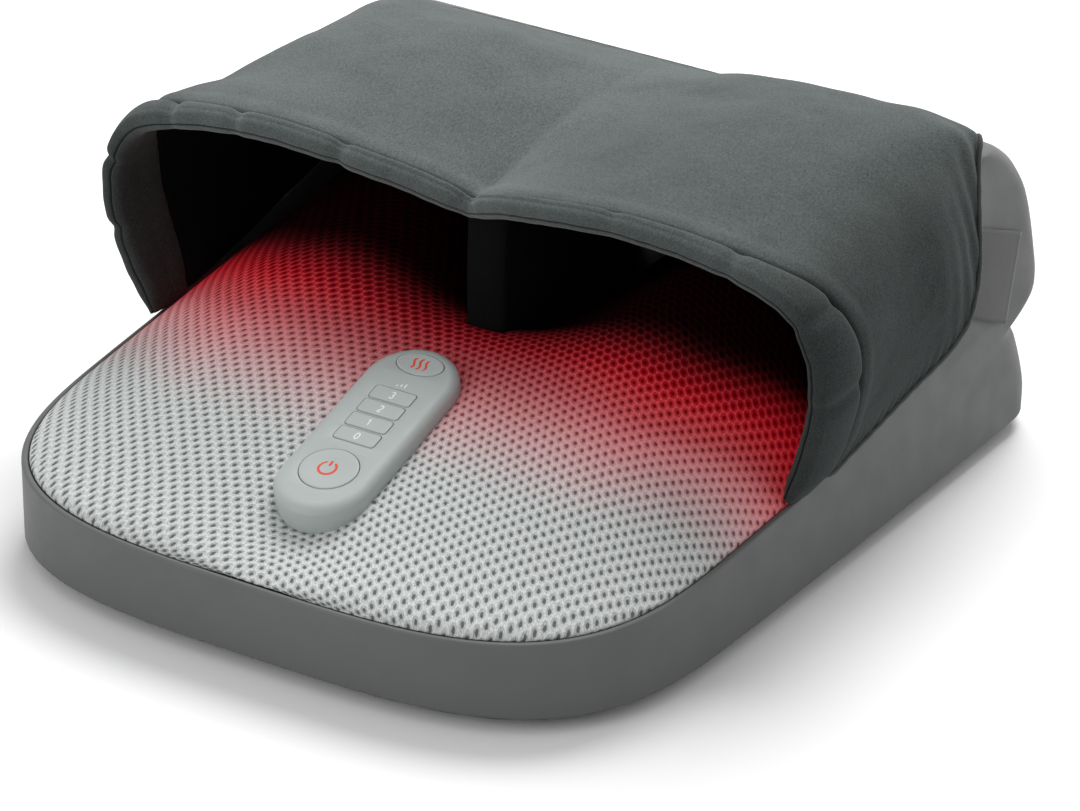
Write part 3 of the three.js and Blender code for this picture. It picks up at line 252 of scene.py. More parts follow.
hem_place = arch_curve([(184.986, 0), (176.988, 0.2), (175.01, 0.4), (174.021, 0.6),
                        (175.999, 0.8), (188.985, 1)])
hem_width = smooth_table([(0, 28), (0.1, 36), (0.25, 37), (0.35, 29), (0.45, 18), (0.55, 12.5),
                          (0.7, 10), (0.9, 9.2), (1, 9)])
hem_arch = arch_curve([(1, 0.3), (1.07, 0.47), (1.11, 0.63), (1.1, 0.78), (1.02, 0.905),
                       (0.87, 0.965), (0.69, 0.995), (0.5, 1), (0.3, 0.98), (0.14, 0.945),
                       (0, 0.895)])
back_arch = arch_curve([(1, 0.34), (1.04, 0.48), (1.05, 0.62), (1.02, 0.76), (0.95, 0.87),
                        (0.83, 0.95), (0.68, 0.985), (0.5, 0.99), (0.3, 0.965), (0.14, 0.935),
                        (0, 0.92)])
end_arch = arch_curve([(1, 0.34), (0.995, 0.5), (0.975, 0.64), (0.95, 0.78), (0.93, 0.89),
                       (0.905, 0.965), (0.8, 1), (0.6, 1), (0.4, 1), (0.2, 1), (0, 1)])
droop = smooth_table([(0, 1), (0.5, 1), (0.67, 0.975), (0.81, 0.91), (0.93, 0.845), (1, 0.8)])


def hood_point(across, along, offset=0.0):
    """Points of the hood: across from a side (0) to the middle (1), along from the hem to the back."""
    across, along, offset = np.broadcast_arrays(
        np.asarray(across, float), np.asarray(along, float), np.asarray(offset, float))
    hem = hem_place(across)[..., 0]
    y = hem + (HOOD_BACK - hem) * along
    half = half_width(y)
    blend = smoothstep(along, 0, CROWN_END)
    close = smoothstep(along, CROWN_END, 1)[..., None]
    fall = droop(along)

    def at(t):
        front = hem_arch(t)
        back = back_arch(t) * (1 - close) + end_arch(t) * close
        x = half * (front[..., 0] + (back[..., 0] - front[..., 0]) * blend)
        z = (front[..., 1] * HEM_CREST * (1 - blend) + back[..., 1] * BACK_CREST * blend) * fall
        return np.stack([x, z], -1)

    here = at(across)
    run = at(np.minimum(1, across + 0.01)) - at(np.maximum(0, across - 0.01))
    run /= np.maximum(np.linalg.norm(run, axis=-1, keepdims=True), 1e-9)
    run = np.where((across > 0.99)[..., None], (-1.0, 0.0), run)
    return np.stack([here[..., 0] - run[..., 1] * offset, y, here[..., 1] + run[..., 0] * offset], -1)


def both_sides(values):
    """Values from a left edge to the middle, and on to the right edge in mirrored order."""
    return np.concatenate([values, values[-2::-1]])


def sides_of(half):
    """-1 from the left edge to the middle, then 1, in the order of both_sides."""
    return np.concatenate([-np.ones(half + 1), np.ones(half)])


def waves(x, y, z, seed, sizes=((60, 1.0), (28, 0.5), (13, 0.25))):
    """A smooth seeded field of slow waves, for folds that no two rows share."""
    rng = np.random.default_rng(seed)
    total = np.zeros(np.broadcast(x, y, z).shape)
    for size, share in sizes:
        for _ in range(5):
            way = rng.normal(size=3)
            way /= np.linalg.norm(way)
            phase = rng.uniform(0, 2 * math.pi)
            total += share / 5 * np.sin(2 * math.pi / size * (x * way[0] + y * way[1] + z * way[2])
                                        + phase)
    return total


# Mesh helpers
def placed(points):
    """Points in millimetres as metres in the row's frame."""
    p = np.asarray(points, float).reshape(-1, 3) * MM
    p[:, 1] -= DEPTH / 2 * MM
    return p


def make_object(name, points, faces, material, body="housing"):
    """A smooth piece from points in millimetres, which rides on a body."""
    mesh = bpy.data.meshes.new(name)
    mesh.from_pydata([tuple(p) for p in placed(points)], [], [tuple(map(int, f)) for f in faces])
    mesh.update()
    mesh.materials.append(material)
    mesh.shade_smooth()
    piece = bpy.data.objects.new(name, mesh)
    bpy.context.scene.collection.objects.link(piece)
    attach(piece, body)
    return piece


@contextmanager
def edited(piece):
    """A piece's mesh, open to bmesh and written back at the end."""
    mesh = bmesh.new()
    mesh.from_mesh(piece.data)
    yield mesh
    mesh.to_mesh(piece.data)
    mesh.free()


def recalc(piece):
    """Turns all faces outward."""
    with edited(piece) as mesh:
        bmesh.ops.recalc_face_normals(mesh, faces=mesh.faces)


def sharpen(piece, degrees):
    """Smooth shading but for edges turned by more than an angle."""
    limit = math.radians(degrees)
    with edited(piece) as mesh:
        for edge in mesh.edges:
            edge.smooth = len(edge.link_faces) == 2 and edge.calc_face_angle(0) < limit


def apply_modifiers(piece):
    """Bakes a piece's modifiers into its mesh."""
    graph = bpy.context.evaluated_depsgraph_get()
    baked = bpy.data.meshes.new_from_object(piece.evaluated_get(graph))
    old = piece.data
    piece.modifiers.clear()
    piece.data = baked
    baked.name = piece.name
    bpy.data.meshes.remove(old)
    baked.shade_smooth()


def lay(piece, name, values):
    """Writes a value or a vector for each point of a mesh, for its finish to read."""
    values = np.asarray(values, np.float32)
    kind, key = ("FLOAT_VECTOR", "vector") if values.ndim == 2 else ("FLOAT", "value")
    layer = piece.data.attributes.new(name, kind, "POINT")
    layer.data.foreach_set(key, values.ravel())


def grid_faces(rows, columns, start=0, wrap=False, flip=False):
    """Four-sided faces over a grid of points, closed across where it wraps."""
    faces = []
    for r in range(rows - 1):
        for c in range(columns if wrap else columns - 1):
            d = (c + 1) % columns
            quad = (start + r * columns + c, start + r * columns + d,
                    start + (r + 1) * columns + d, start + (r + 1) * columns + c)
            faces.append(quad[::-1] if flip else quad)
    return faces


def two_sided(outer, inner):
    """Points and faces of a closed sheet between two grids of the same shape."""
    rows, columns = outer.shape[:2]
    count = rows * columns
    faces = grid_faces(rows, columns) + grid_faces(rows, columns, count, flip=True)
    across, down = list(range(columns)), [r * columns for r in range(rows)]
    for ring in (across, [r + columns - 1 for r in down], [count - columns + c for c in across[::-1]],
                 down[::-1]):
        faces += [(b, a, a + count, b + count) for a, b in zip(ring, ring[1:])]
    return np.concatenate([outer.reshape(-1, 3), inner.reshape(-1, 3)]), faces


def closed_rings(rings):
    """Points and faces of a form made of rings of one count, with a flat face at each end."""
    count = len(rings[0])
    points = np.concatenate(rings)
    faces = grid_faces(len(rings), count, wrap=True)
    faces.append(tuple(range(count)))
    faces.append(tuple(len(points) - 1 - i for i in range(count)))
    return points, faces


def looped_rings(rings):
    """Points and faces of a form whose last ring joins its first, such as a wall with two sides."""
    count, total = len(rings[0]), len(rings) * len(rings[0])
    faces = grid_faces(len(rings) + 1, count, wrap=True)
    return np.concatenate(rings), [tuple(i % total for i in face) for face in faces]


def joined(parts):
    """Points and faces of several forms as one."""
    points, faces, start = [], [], 0
    for p, f in parts:
        points.append(p)
        faces += [tuple(i + start for i in face) for face in f]
        start += len(p)
    return np.concatenate(points), faces


def ellipse(size, y, grow, z, x=0.0, sides=72):
    """A ring along an ellipse, grown by as much all round."""
    angle = np.linspace(0, 2 * math.pi, sides, endpoint=False)
    return np.column_stack([x + (size[0] / 2 + grow) * np.cos(angle),
                            y + (size[1] / 2 + grow) * np.sin(angle), np.full(sides, z)])


def tube_mesh(path, radius, sides):
    """A round tube along a path, with its own frame carried along."""
    radius = np.broadcast_to(radius, len(path))
    tangent = np.gradient(path, axis=0)
    tangent /= np.linalg.norm(tangent, axis=1, keepdims=True)
    normal = np.cross(tangent[0], (0.3, 0.2, 1.0))
    angle = np.linspace(0, 2 * math.pi, sides, endpoint=False)[:, None]
    rings = []
    for p, t, r in zip(path, tangent, radius):
        normal = normal - t * np.dot(normal, t)
        normal /= np.linalg.norm(normal)
        rings.append(p + r * (np.cos(angle) * normal + np.sin(angle) * np.cross(t, normal)))
    return closed_rings(rings)


def resampled(path, spacing):
    """Points at an even spacing along a path."""
    path = np.asarray(path, float)
    reach = np.concatenate([[0], np.cumsum(np.linalg.norm(np.diff(path, axis=0), axis=1))])
    count = max(2, int(reach[-1] / spacing) + 1)
    at = np.linspace(0, reach[-1], count)
    return np.column_stack([np.interp(at, reach, path[:, i]) for i in range(3)])


# Materials
def linear(rgb):
    """A colour of 0 to 255 as linear light."""
    return tuple(((c / 255 + 0.055) / 1.055) ** 2.4 if c > 10 else c / 255 / 12.92 for c in rgb) + (1,)


def shaded(colour, factor):
    """A linear colour made darker or lighter, with no part of it above 1."""
    return tuple(min(1, c * factor) for c in colour[:3]) + (1,)


def put(tree, node, **inputs):
    """Gives a node's inputs values, or what other nodes put out; i0, i1 and so on are their numbers."""
    for key, value in inputs.items():
        numbered = key[0] == "i" and key[1:].isdigit()
        socket = node.inputs[int(key[1:]) if numbered else key.replace("_", " ")]
        if isinstance(value, bpy.types.NodeSocket):
            tree.links.new(value, socket)
        else:
            socket.default_value = value


def add(tree, kind, settings=None, **inputs):
    """A shader node with its settings and inputs."""
    made = tree.nodes.new("ShaderNode" + kind)
    for key, value in (settings or {}).items():
        setattr(made, key, value)
    put(tree, made, **inputs)
    return made


def maths(tree, operation, a, b=0.0, c=0.0, clamp=False):
    settings = {"operation": operation, "use_clamp": clamp}
    return add(tree, "Math", settings, i0=a, i1=b, i2=c).outputs[0]


def vectors(tree, operation, a, b=(0, 0, 0), output="Vector"):
    return add(tree, "VectorMath", {"operation": operation}, i0=a, i1=b).outputs[output]


def ramp(tree, value, low, high, to_low=0.0, to_high=1.0):
    """A value eased from one range to another."""
    settings = {"interpolation_type": "SMOOTHSTEP"}
    made = add(tree, "MapRange", settings, Value=value, From_Min=low, From_Max=high, To_Min=to_low,
               To_Max=to_high)
    return made.outputs[0]


def mixed(tree, share, a, b, blend="MIX"):
    """One colour over another, by a share."""
    return add(tree, "Mix", {"data_type": "RGBA", "blend_type": blend}, i0=share, i6=a, i7=b).outputs[2]


def grey(tree, value):
    return add(tree, "CombineColor", Red=value, Green=value, Blue=value).outputs[0]


def laid(tree, name, output="Fac"):
    """What lay() wrote on the mesh under a name."""
    return add(tree, "Attribute", {"attribute_name": name}).outputs[output]


def blank(name):
    """A new material, its nodes and its surface."""
    material = bpy.data.materials.new(name)
    material.use_nodes = True
    tree = material.node_tree
    return material, tree, tree.nodes["Principled BSDF"]


def noise(tree, where, scale, detail=3.0, roughness=0.55):
    made = add(tree, "TexNoise", Vector=where, Scale=scale, Detail=detail, Roughness=roughness)
    return made.outputs["Fac"]


def bump(tree, height, distance, strength=1.0, **below):
    made = add(tree, "Bump", Height=height, Distance=distance, Strength=strength, **below)
    return made.outputs[0]


def plastic(name, rgb, roughness=0.5, grain=0.00003, grain_scale=2600, spread=0.06, specular=0.5):
    """Moulded plastic: spark-eroded grain, faint flow marks and convex edges made a little lighter."""
    material, tree, surface = blank(name)
    where = add(tree, "TexCoord").outputs["Object"]
    dark, light = shaded(linear(rgb), 1 - spread), shaded(linear(rgb), 1 + spread)
    fine = noise(tree, where, grain_scale, 2.0)
    flow = mixed(tree, noise(tree, where, 14, 2.0), dark, light)
    speckled = mixed(tree, ramp(tree, fine, 0.35, 0.75, 0, 0.25), flow, light)
    pointed = add(tree, "NewGeometry").outputs["Pointiness"]
    # Convex edges made a little lighter, by pointiness
    lighter_edges = mixed(tree, ramp(tree, pointed, 0.53, 0.62, 0, 0.3), speckled, light)
    rough = ramp(tree, noise(tree, where, 60), 0.3, 0.7, roughness - 0.05, roughness + 0.05)
    put(tree, surface, Base_Color=lighter_edges, Roughness=rough, Specular_IOR_Level=specular,
        Normal=bump(tree, fine, grain))
    return material


def pile(name, rgb, sheen, blotch):
    """Short brushed pile: directional strokes, blotches where it lies over, a pale sheen, and the painted
    light and shade laid on the mesh, which darkens the colour and the sheen.
    """
    material, tree, surface = blank(name)
    where = add(tree, "TexCoord").outputs["Object"]
    tilted = add(tree, "Mapping", Vector=where, Rotation=(0.3, 0.2, 0.5), Scale=(1, 0.35, 1))
    strokes = noise(tree, tilted.outputs[0], 1500, 3.0, 0.7)
    broad = noise(tree, where, 34, 4.0, 0.6)
    middle = noise(tree, where, 210, 3.0, 0.6)
    base = linear(rgb)
    dark, light = shaded(base, 1 - blotch * 1.6), shaded(base, 1 + blotch * 1.6)
    colour = mixed(tree, ramp(tree, broad, 0.3, 0.7), dark, light)
    colour = mixed(tree, ramp(tree, middle, 0.35, 0.7, 0, 0.45), colour, light)
    colour = mixed(tree, ramp(tree, strokes, 0.42, 0.7, 0, 0.55), colour, shaded(base, 1.9))
    colour = mixed(tree, ramp(tree, strokes, 0.5, 0.25, 0, 0.6), colour, shaded(base, 0.4))
    # Painted light and shade laid on the mesh, multiplied into the colour and the sheen
    painted_shading = laid(tree, "painted_shading")
    colour = mixed(tree, 1.0, colour, grey(tree, painted_shading), "MULTIPLY")
    lower = bump(tree, broad, 0.0012, 0.6)
    put(tree, surface, Base_Color=colour, Roughness=0.95, Specular_IOR_Level=0.15,
        Sheen_Weight=maths(tree, "MULTIPLY", painted_shading, sheen), Sheen_Roughness=0.45,
        Sheen_Tint=(0.75, 0.8, 0.79, 1), Normal=bump(tree, strokes, 0.00035, 0.9, Normal=lower))
    return material


def woven(name, rgb, pitch):
    """Plain satin weave for the side tag, the piping and the stitches."""
    material, tree, surface = blank(name)
    where = add(tree, "TexCoord").outputs["Object"]
    bands = {"wave_type": "BANDS", "bands_direction": "DIAGONAL", "wave_profile": "SIN"}
    turned = add(tree, "Mapping", Vector=where, Rotation=(0.0, math.pi / 2, math.pi / 2)).outputs[0]
    warp, weft = (add(tree, "TexWave", bands, Vector=way, Scale=0.16 / pitch, Distortion=0.6)
                  for way in (where, turned))
    cloth = maths(tree, "MULTIPLY", warp.outputs["Fac"], weft.outputs["Fac"])
    base = linear(rgb)
    colour = mixed(tree, cloth, shaded(base, 0.62), shaded(base, 1.25))
    colour = mixed(tree, ramp(tree, noise(tree, where, 90), 0.3, 0.7, 0, 0.3), colour, base)
    put(tree, surface, Base_Color=colour, Roughness=0.7, Sheen_Weight=0.25,
        Normal=bump(tree, cloth, 0.00012))
    return material


def from_hole(tree, cloth):
    """How far a place on the mesh cloth lies from the nearest of its holes, which stand in two sets."""
    cell = (MESH_PITCH * MM, MESH_PITCH * MM * math.sqrt(3), 1.0)
    away = []
    for shift in ((0.5, 0.5, 0.0), (0.0, 0.0, 0.0)):
        part = vectors(tree, "ADD", vectors(tree, "DIVIDE", cloth, cell), shift)
        middle = vectors(tree, "SUBTRACT", vectors(tree, "FRACTION", part), (0.5, 0.5, 0.0))
        back = vectors(tree, "MULTIPLY", middle, (*cell[:2], 0.0))
        away.append(vectors(tree, "LENGTH", back, output="Value"))
    return maths(tree, "MINIMUM", *away)


def mesh_cloth(name):
    """Spacer mesh: round holes in staggered rows between fuzzy yarn, with painted light and shade: the
    holes painted dark, painted pink and red light towards the back, a painted glow as emission, and
    painted shade under the hood.
    """
    material, tree, surface = blank(name)
    cloth = laid(tree, "cloth", "Vector")
    painted_pink_light, painted_red_light, painted_hood_shade, lit = (laid(tree, key) for key in ("painted_pink_light", "painted_red_light", "painted_hood_shade", "lit"))
    fuzz = noise(tree, cloth, 1300, 3.0, 0.65)
    rough_edge = maths(tree, "MULTIPLY_ADD", fuzz, 0.0010, -0.0005)
    nearest = maths(tree, "ADD", from_hole(tree, cloth), rough_edge)
    hole = ramp(tree, nearest, 0.0007, 0.00145, 1, 0)
    knot = ramp(tree, nearest, 0.0019, 0.0029)
    tuft = ramp(tree, fuzz, 0.3, 0.7)
    yarn = mixed(tree, tuft, linear((196, 202, 200)), linear((251, 253, 252)))
    # Yarn under the painted pink light and the painted red light; the red is paler on the yarn between
    # the holes
    pink = mixed(tree, tuft, linear((226, 134, 139)), linear((255, 186, 189)))
    red = mixed(tree, tuft, linear((122, 6, 20)), linear((210, 30, 48)))
    red = mixed(tree, maths(tree, "MULTIPLY", knot, 0.42), red, linear((248, 134, 140)))
    # Painted shade under the hood, near black at the back
    red = mixed(tree, painted_hood_shade, red, linear((40, 3, 8)))
    cover = mixed(tree, painted_red_light, mixed(tree, painted_pink_light, yarn, pink), red)
    # Painted shade in the holes, which are only a bump: grey, red under the painted light, near black
    # under the hood
    painted_hole_shade = mixed(tree, painted_pink_light, linear((104, 109, 109)), linear((150, 42, 52)))
    painted_hole_shade = mixed(tree, painted_red_light, painted_hole_shade, linear((76, 3, 12)))
    painted_hole_shade = mixed(tree, painted_hood_shade, painted_hole_shade, linear((16, 1, 3)))
    # Painted glow: the cloth's emission, pink to red, though the cloth is no lamp
    rose = mixed(tree, hole, linear((250, 150, 154)), linear((190, 70, 78)))
    glow = mixed(tree, hole, linear((190, 5, 22)), linear((120, 2, 12)))
    glow = mixed(tree, maths(tree, "MULTIPLY", knot, 0.25), glow, linear((240, 80, 90)))
    glow = mixed(tree, ramp(tree, painted_red_light, 0.0, 0.6), rose, glow)
    shine = maths(tree, "SUBTRACT", 1.0, maths(tree, "MAXIMUM", painted_hood_shade, painted_red_light))
    lower = bump(tree, ramp(tree, nearest, 0.0006, 0.0026), 0.0011, 0.9)
    put(tree, surface, Base_Color=mixed(tree, hole, cover, painted_hole_shade), Roughness=0.9,
        Specular_IOR_Level=maths(tree, "MULTIPLY_ADD", shine, 0.17, 0.03),
        Sheen_Weight=maths(tree, "MULTIPLY", shine, 0.1), Emission_Color=glow,
        Emission_Strength=maths(tree, "MULTIPLY", lit, 0.3),
        Normal=bump(tree, fuzz, 0.0003, 0.7, Normal=lower))
    return material


def metal(name, rgb, roughness=0.3, stretch=(1, 1, 30)):
    """Drawn or machined metal with fine scratches along one way."""
    material, tree, surface = blank(name)
    where = add(tree, "TexCoord").outputs["Object"]
    marks = noise(tree, add(tree, "Mapping", Vector=where, Scale=stretch).outputs[0], 400, 4.0)
    colour = mixed(tree, marks, shaded(linear(rgb), 0.7), linear(rgb))
    rough = ramp(tree, marks, 0.3, 0.7, roughness - 0.08, roughness + 0.12)
    put(tree, surface, Base_Color=colour, Metallic=1.0, Roughness=rough,
        Normal=bump(tree, marks, 0.00003))
    return material


def board_finish(name):
    """Solder mask with rows of copper tracks and pads under it."""
    material, tree, surface = blank(name)
    where = add(tree, "TexCoord").outputs["Object"]
    tracks = add(tree, "TexBrick", Vector=where, Scale=260, Mortar_Size=0.06).outputs["Fac"]
    away = add(tree, "TexVoronoi", Vector=where, Scale=420).outputs["Distance"]
    green = mixed(tree, tracks, linear((22, 84, 52)), linear((40, 124, 78)))
    colour = mixed(tree, ramp(tree, away, 0.2, 0.3, 1, 0), green, linear((196, 190, 160)))
    put(tree, surface, Base_Color=colour, Roughness=0.35, Normal=bump(tree, tracks, 0.00005))
    return material


shell_plastic = plastic("shell_plastic", (96, 98, 97), 0.55)
inner_plastic = plastic("inner_plastic", (60, 63, 64), 0.6)
panel_plastic = plastic("panel_plastic", (182, 189, 187), 0.45, 0.000015, spread=0.03, specular=0.35)
key_plastic = plastic("key_plastic", (184, 191, 189), 0.42, 0.000015, spread=0.03, specular=0.35)
acetal = plastic("acetal", (232, 230, 222), 0.35, 0.00001, spread=0.03)
rubber = plastic("rubber", (24, 24, 24), 0.85, 0.00006)
hood_pile = pile("hood_pile", (92, 99, 98), 0.3, 0.07)
lining_pile = plastic("lining_cloth", (17, 18, 19), 0.95, 0.0002, 900, 0.2, 0.05)
label_cloth = woven("label_cloth", (79, 80, 80), 0.0004)
piping_cloth = woven("piping_cloth", (46, 50, 49), 0.0005)
thread_cloth = woven("thread_cloth", (38, 41, 40), 0.0003)
bed_cloth = mesh_cloth("bed_cloth")
steel = metal("steel", (180, 183, 186))
brass = metal("brass", (201, 162, 74), 0.35, (1, 30, 1))
board = board_finish("board")
heater_film = plastic("heater_film", (166, 58, 36), 0.5, 0.00005, 900, 0.15)
air_film = plastic("air_film", (111, 116, 120), 0.35, 0.00008, 500, 0.1)
icon_red = plastic("icon_red", (232, 70, 34), 0.5, 0.00001)
mark_white = plastic("mark_white", (250, 251, 250), 0.5, 0.00001)


# Housing
def wall_tops(levels, plans):
    """How high the housing's wall stands at each point of its plan, up to the rim or the seam."""
    over = levels[:, None] - side_top(plans[:, :, 1])
    tops = np.full(plans.shape[1], ROOF_HEIGHT)
    for i in np.nonzero((over > 0).any(axis=0))[0]:
        k = np.nonzero(over[:, i] > 0)[0][0]
        share = -over[k - 1, i] / (over[k, i] - over[k - 1, i])
        tops[i] = levels[k - 1] + share * (levels[k] - levels[k - 1])
    return tops


def wall_rows():
    """The housing's wall as rings: up its outside, over the lip, down its inside and under the ledge."""
    levels = np.linspace(SEAM_HEIGHT, ROOF_HEIGHT, 240)
    insets = (0.0, WALL, WALL + LEDGE)
    walls = [np.array([plan_outline(float(lean(z)) + inset,
                                    DEPTH * float(back_reach(z / ROOF_HEIGHT)) - inset)
                       for z in levels]) for inset in insets]
    top = wall_tops(levels, walls[0])
    low = np.full(len(top), SEAM_HEIGHT)
    column = np.arange(len(top))

    def at(z, inset):
        place = np.clip((z - levels[0]) / (levels[1] - levels[0]), 0, len(levels) - 1.001)
        i = place.astype(int)
        share = (place - i)[:, None]
        plans = [w[i, column] * (1 - share) + w[i + 1, column] * share for w in walls]
        k = 0 if inset <= WALL else 1
        part = (inset - insets[k]) / (insets[k + 1] - insets[k])
        return np.column_stack([plans[k] + (plans[k + 1] - plans[k]) * part, z])

    rows = [at(low, LOWER_EDGE), at(low + 0.25, 0.25), at(low + LOWER_EDGE, 0)]
    rise = top - LIP - low - LOWER_EDGE
    rows += [at(low + LOWER_EDGE + rise * share, 0) for share in np.linspace(0, 1, 58)[1:]]
    rows += [at(top - LIP + LIP * math.sin(a), LIP * (1 - math.cos(a)))
             for a in np.linspace(0, math.pi / 2, 6)[1:]]
    rows += [at(top - INNER_LIP + INNER_LIP * math.cos(a), WALL - INNER_LIP + INNER_LIP * math.sin(a))
             for a in np.linspace(0, math.pi / 2, 5)[1:]]
    under_bed = rim_height(rows[0][:, 1]) - BED_DROP - BED_THICKNESS - GAP
    ledge = np.minimum(top - 2.5, under_bed)
    rows += [at(top - INNER_LIP + (ledge - top + INNER_LIP) * share, WALL)
             for share in np.linspace(0, 1, 14)[1:]]
    return rows + [at(z, WALL + LEDGE) for z in (ledge, low + 6, low)]


def drill_inlet(piece):
    """Cuts the hole through the rear wall that the power inlet sits in."""
    x, z, radius = INLET
    spot = Vector(placed([(x, DEPTH * BACK_SHARES[0][1] - 20, z)])[0])
    cutter = bpy.data.objects.new("inlet_drill", bpy.data.meshes.new("inlet_drill"))
    with edited(cutter) as drill:
        bmesh.ops.create_cone(drill, segments=40, radius1=radius * MM, radius2=radius * MM, depth=90 * MM,
                              cap_ends=True,
                              matrix=Matrix.Translation(spot) @ Matrix.Rotation(math.pi / 2, 4, "X"))
    bpy.context.scene.collection.objects.link(cutter)
    hole = piece.modifiers.new("inlet_hole", "BOOLEAN")
    hole.operation, hole.solver, hole.object = "DIFFERENCE", "EXACT", cutter
    apply_modifiers(piece)
    bpy.data.objects.remove(cutter)


def housing():
    """The moulded shell with its two pairs of screw bosses and the hole for the inlet."""
    parts = [looped_rings(wall_rows())]
    for side in (1, -1):
        for y in BOSS_PLACES:
            x = side * (float(half_width(y)) - WALL - LEDGE - BOSS_RADIUS + BOSS_OVERLAP)
            parts.append(looped_rings([ellipse((2 * r, 2 * r), y, 0, z, x, 28)
                                       for r, z in BOSS_PROFILE]))
    piece = make_object("housing_shell", *joined(parts), shell_plastic)
    recalc(piece)
    drill_inlet(piece)
    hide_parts("base_shell")


# Mesh foot bed
def to_panel(points):
    """Points of the model in the panel's own frame."""
    p = np.asarray(points, float) - PANEL_PLACE
    c, s = math.cos(PANEL_TILT), math.sin(PANEL_TILT)
    return np.stack([p[..., 0], p[..., 1] * c + p[..., 2] * s, -p[..., 1] * s + p[..., 2] * c], -1)


def on_panel(points):
    """Points of the panel's own frame in the model."""
    p = np.asarray(points, float)
    c, s = math.cos(PANEL_TILT), math.sin(PANEL_TILT)
    turned = np.stack([p[..., 0], p[..., 1] * c - p[..., 2] * s, p[..., 1] * s + p[..., 2] * c], -1)
    return turned + PANEL_PLACE


def from_panel(points):
    """How far points lie outside the panel's outline, and the way there from its middle line."""
    p = to_panel(points)[..., :2]
    p[..., 1] -= np.clip(p[..., 1], -PANEL_REACH, PANEL_REACH)
    return np.hypot(p[..., 0], p[..., 1]) - PANEL_WIDTH / 2, p


def bed_grid():
    """The bed's top, with the cloth's slow unevenness and drawn down a little around the panel."""
    rows, columns = ((200, 221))
    turn = np.linspace(0, math.pi / 2, rows // 3)
    y = BED_INSET + 0.05 + (CORNER_LENGTH - BED_INSET) * (1 - np.cos(turn))
    y = np.concatenate([y, np.linspace(CORNER_LENGTH, BED_BACK, rows - rows // 3 + 1)[1:]])
    even = np.linspace(-1, 1, columns)
    x = half_width(y, BED_INSET)[:, None] * (0.45 * np.sin(math.pi / 2 * even) + 0.55 * even)
    y = np.broadcast_to(y[:, None], x.shape)
    z = bed_height(x, y)
    edge = np.minimum(half_width(y, BED_INSET) - np.abs(x), y - BED_INSET)
    z = z + BED_WAVE * waves(x, y, z, 5, ((90, 1.0), (40, 0.6))) * smoothstep(edge, 4, 30)
    distance, _ = from_panel(np.stack([x, y, z], -1))
    return np.stack([x, y, z - PANEL_SINK * np.exp(-np.maximum(distance, 0) / 5)], -1)


def cloth_places(grid):
    """Where each point of the bed lies on its flat cloth, in metres, measured along the bed."""
    middle = grid.shape[1] // 2
    step = np.linalg.norm(np.diff(grid, axis=1), axis=-1)
    across = np.pad(np.cumsum(step, axis=1), ((0, 0), (1, 0)))
    across -= across[:, middle:middle + 1]
    step = np.linalg.norm(np.diff(grid, axis=0), axis=-1)
    step = 0.25 * step[:, middle:middle + 1] + 0.75 * step
    along = np.pad(np.cumsum(step, axis=0), ((1, 0), (0, 0)))
    return np.stack([across, along, np.zeros_like(along)], -1).reshape(-1, 3) * MM


def painted_bed_light(x, y):
    """Painted light and shade on the bed cloth: a pink light, red light behind it, then painted shade
    under the hood; lit is how strongly the cloth is painted to glow, less near the divider.
    """
    y = y - GLOW_LAG * smoothstep(np.abs(x), 105, 168)
    painted_pink_light, painted_red_light, painted_hood_shade = smoothstep(y, 82, 148), smoothstep(y, 116, 186), smoothstep(y, 168, 226)
    lit = painted_pink_light * (0.3 + 0.7 * painted_red_light) * (1 - smoothstep(y, 168, 214))
    lit *= 0.5 + 0.9 * smoothstep(np.abs(x), 30, 120)
    return {"painted_pink_light": painted_pink_light, "painted_red_light": painted_red_light, "lit": lit, "painted_hood_shade": painted_hood_shade}


def foot_bed():
    """The stretched mesh with the opening for the panel and the notch for the divider."""
    grid = bed_grid()
    # heat holds the painted pink and red light and the painted shade under the hood
    places, heat = cloth_places(grid), painted_bed_light(grid[..., 0], grid[..., 1])
    distance, way = from_panel(grid)
    way /= np.maximum(np.linalg.norm(way, axis=-1, keepdims=True), 1e-6)
    local = to_panel(grid)
    local[..., 1] = np.clip(local[..., 1], -PANEL_REACH, PANEL_REACH)
    local[..., 0] = 0
    local[..., :2] += way * (PANEL_WIDTH / 2 - 0.4)
    grid = np.where((np.abs(distance) < 1.0)[..., None], on_panel(local), grid)
    faces = np.array(grid_faces(*grid.shape[:2]))
    spots = grid.reshape(-1, 3)[faces].mean(1)
    hole = from_panel(spots)[0] < -0.8
    notch = (np.abs(spots[:, 0]) < DIVIDER_HALF + 0.5) & (spots[:, 1] > DIVIDER_FRONT - 1)
    piece = make_object("foot_bed_mesh", grid, faces[~(hole | notch)], bed_cloth)
    lay(piece, "cloth", places)
    for name, values in heat.items():
        lay(piece, name, values.ravel())
    with edited(piece) as mesh:
        bmesh.ops.delete(mesh, geom=[v for v in mesh.verts if not v.link_faces], context="VERTS")
    foam = piece.modifiers.new("foam", "SOLIDIFY")
    foam.thickness, foam.offset = FOAM * MM, -1
    apply_modifiers(piece)
    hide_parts("mesh_cover")


# Hood
def hood_start(along):
    """How far across the hood's lower edge lies, where it meets the housing's side."""
    across = np.linspace(0, 1, 801)
    p = hood_point(across, along)
    clear = p[:, 2] - side_top(p[:, 1]) - GAP
    below = np.nonzero(clear[:640] < 0)[0]
    if len(below) == 0:
        return 0.0
    k = below[-1]
    share = -clear[k] / max(clear[k + 1] - clear[k], 1e-6)
    return float(across[k] + (across[k + 1] - across[k]) * min(share, 1.0))


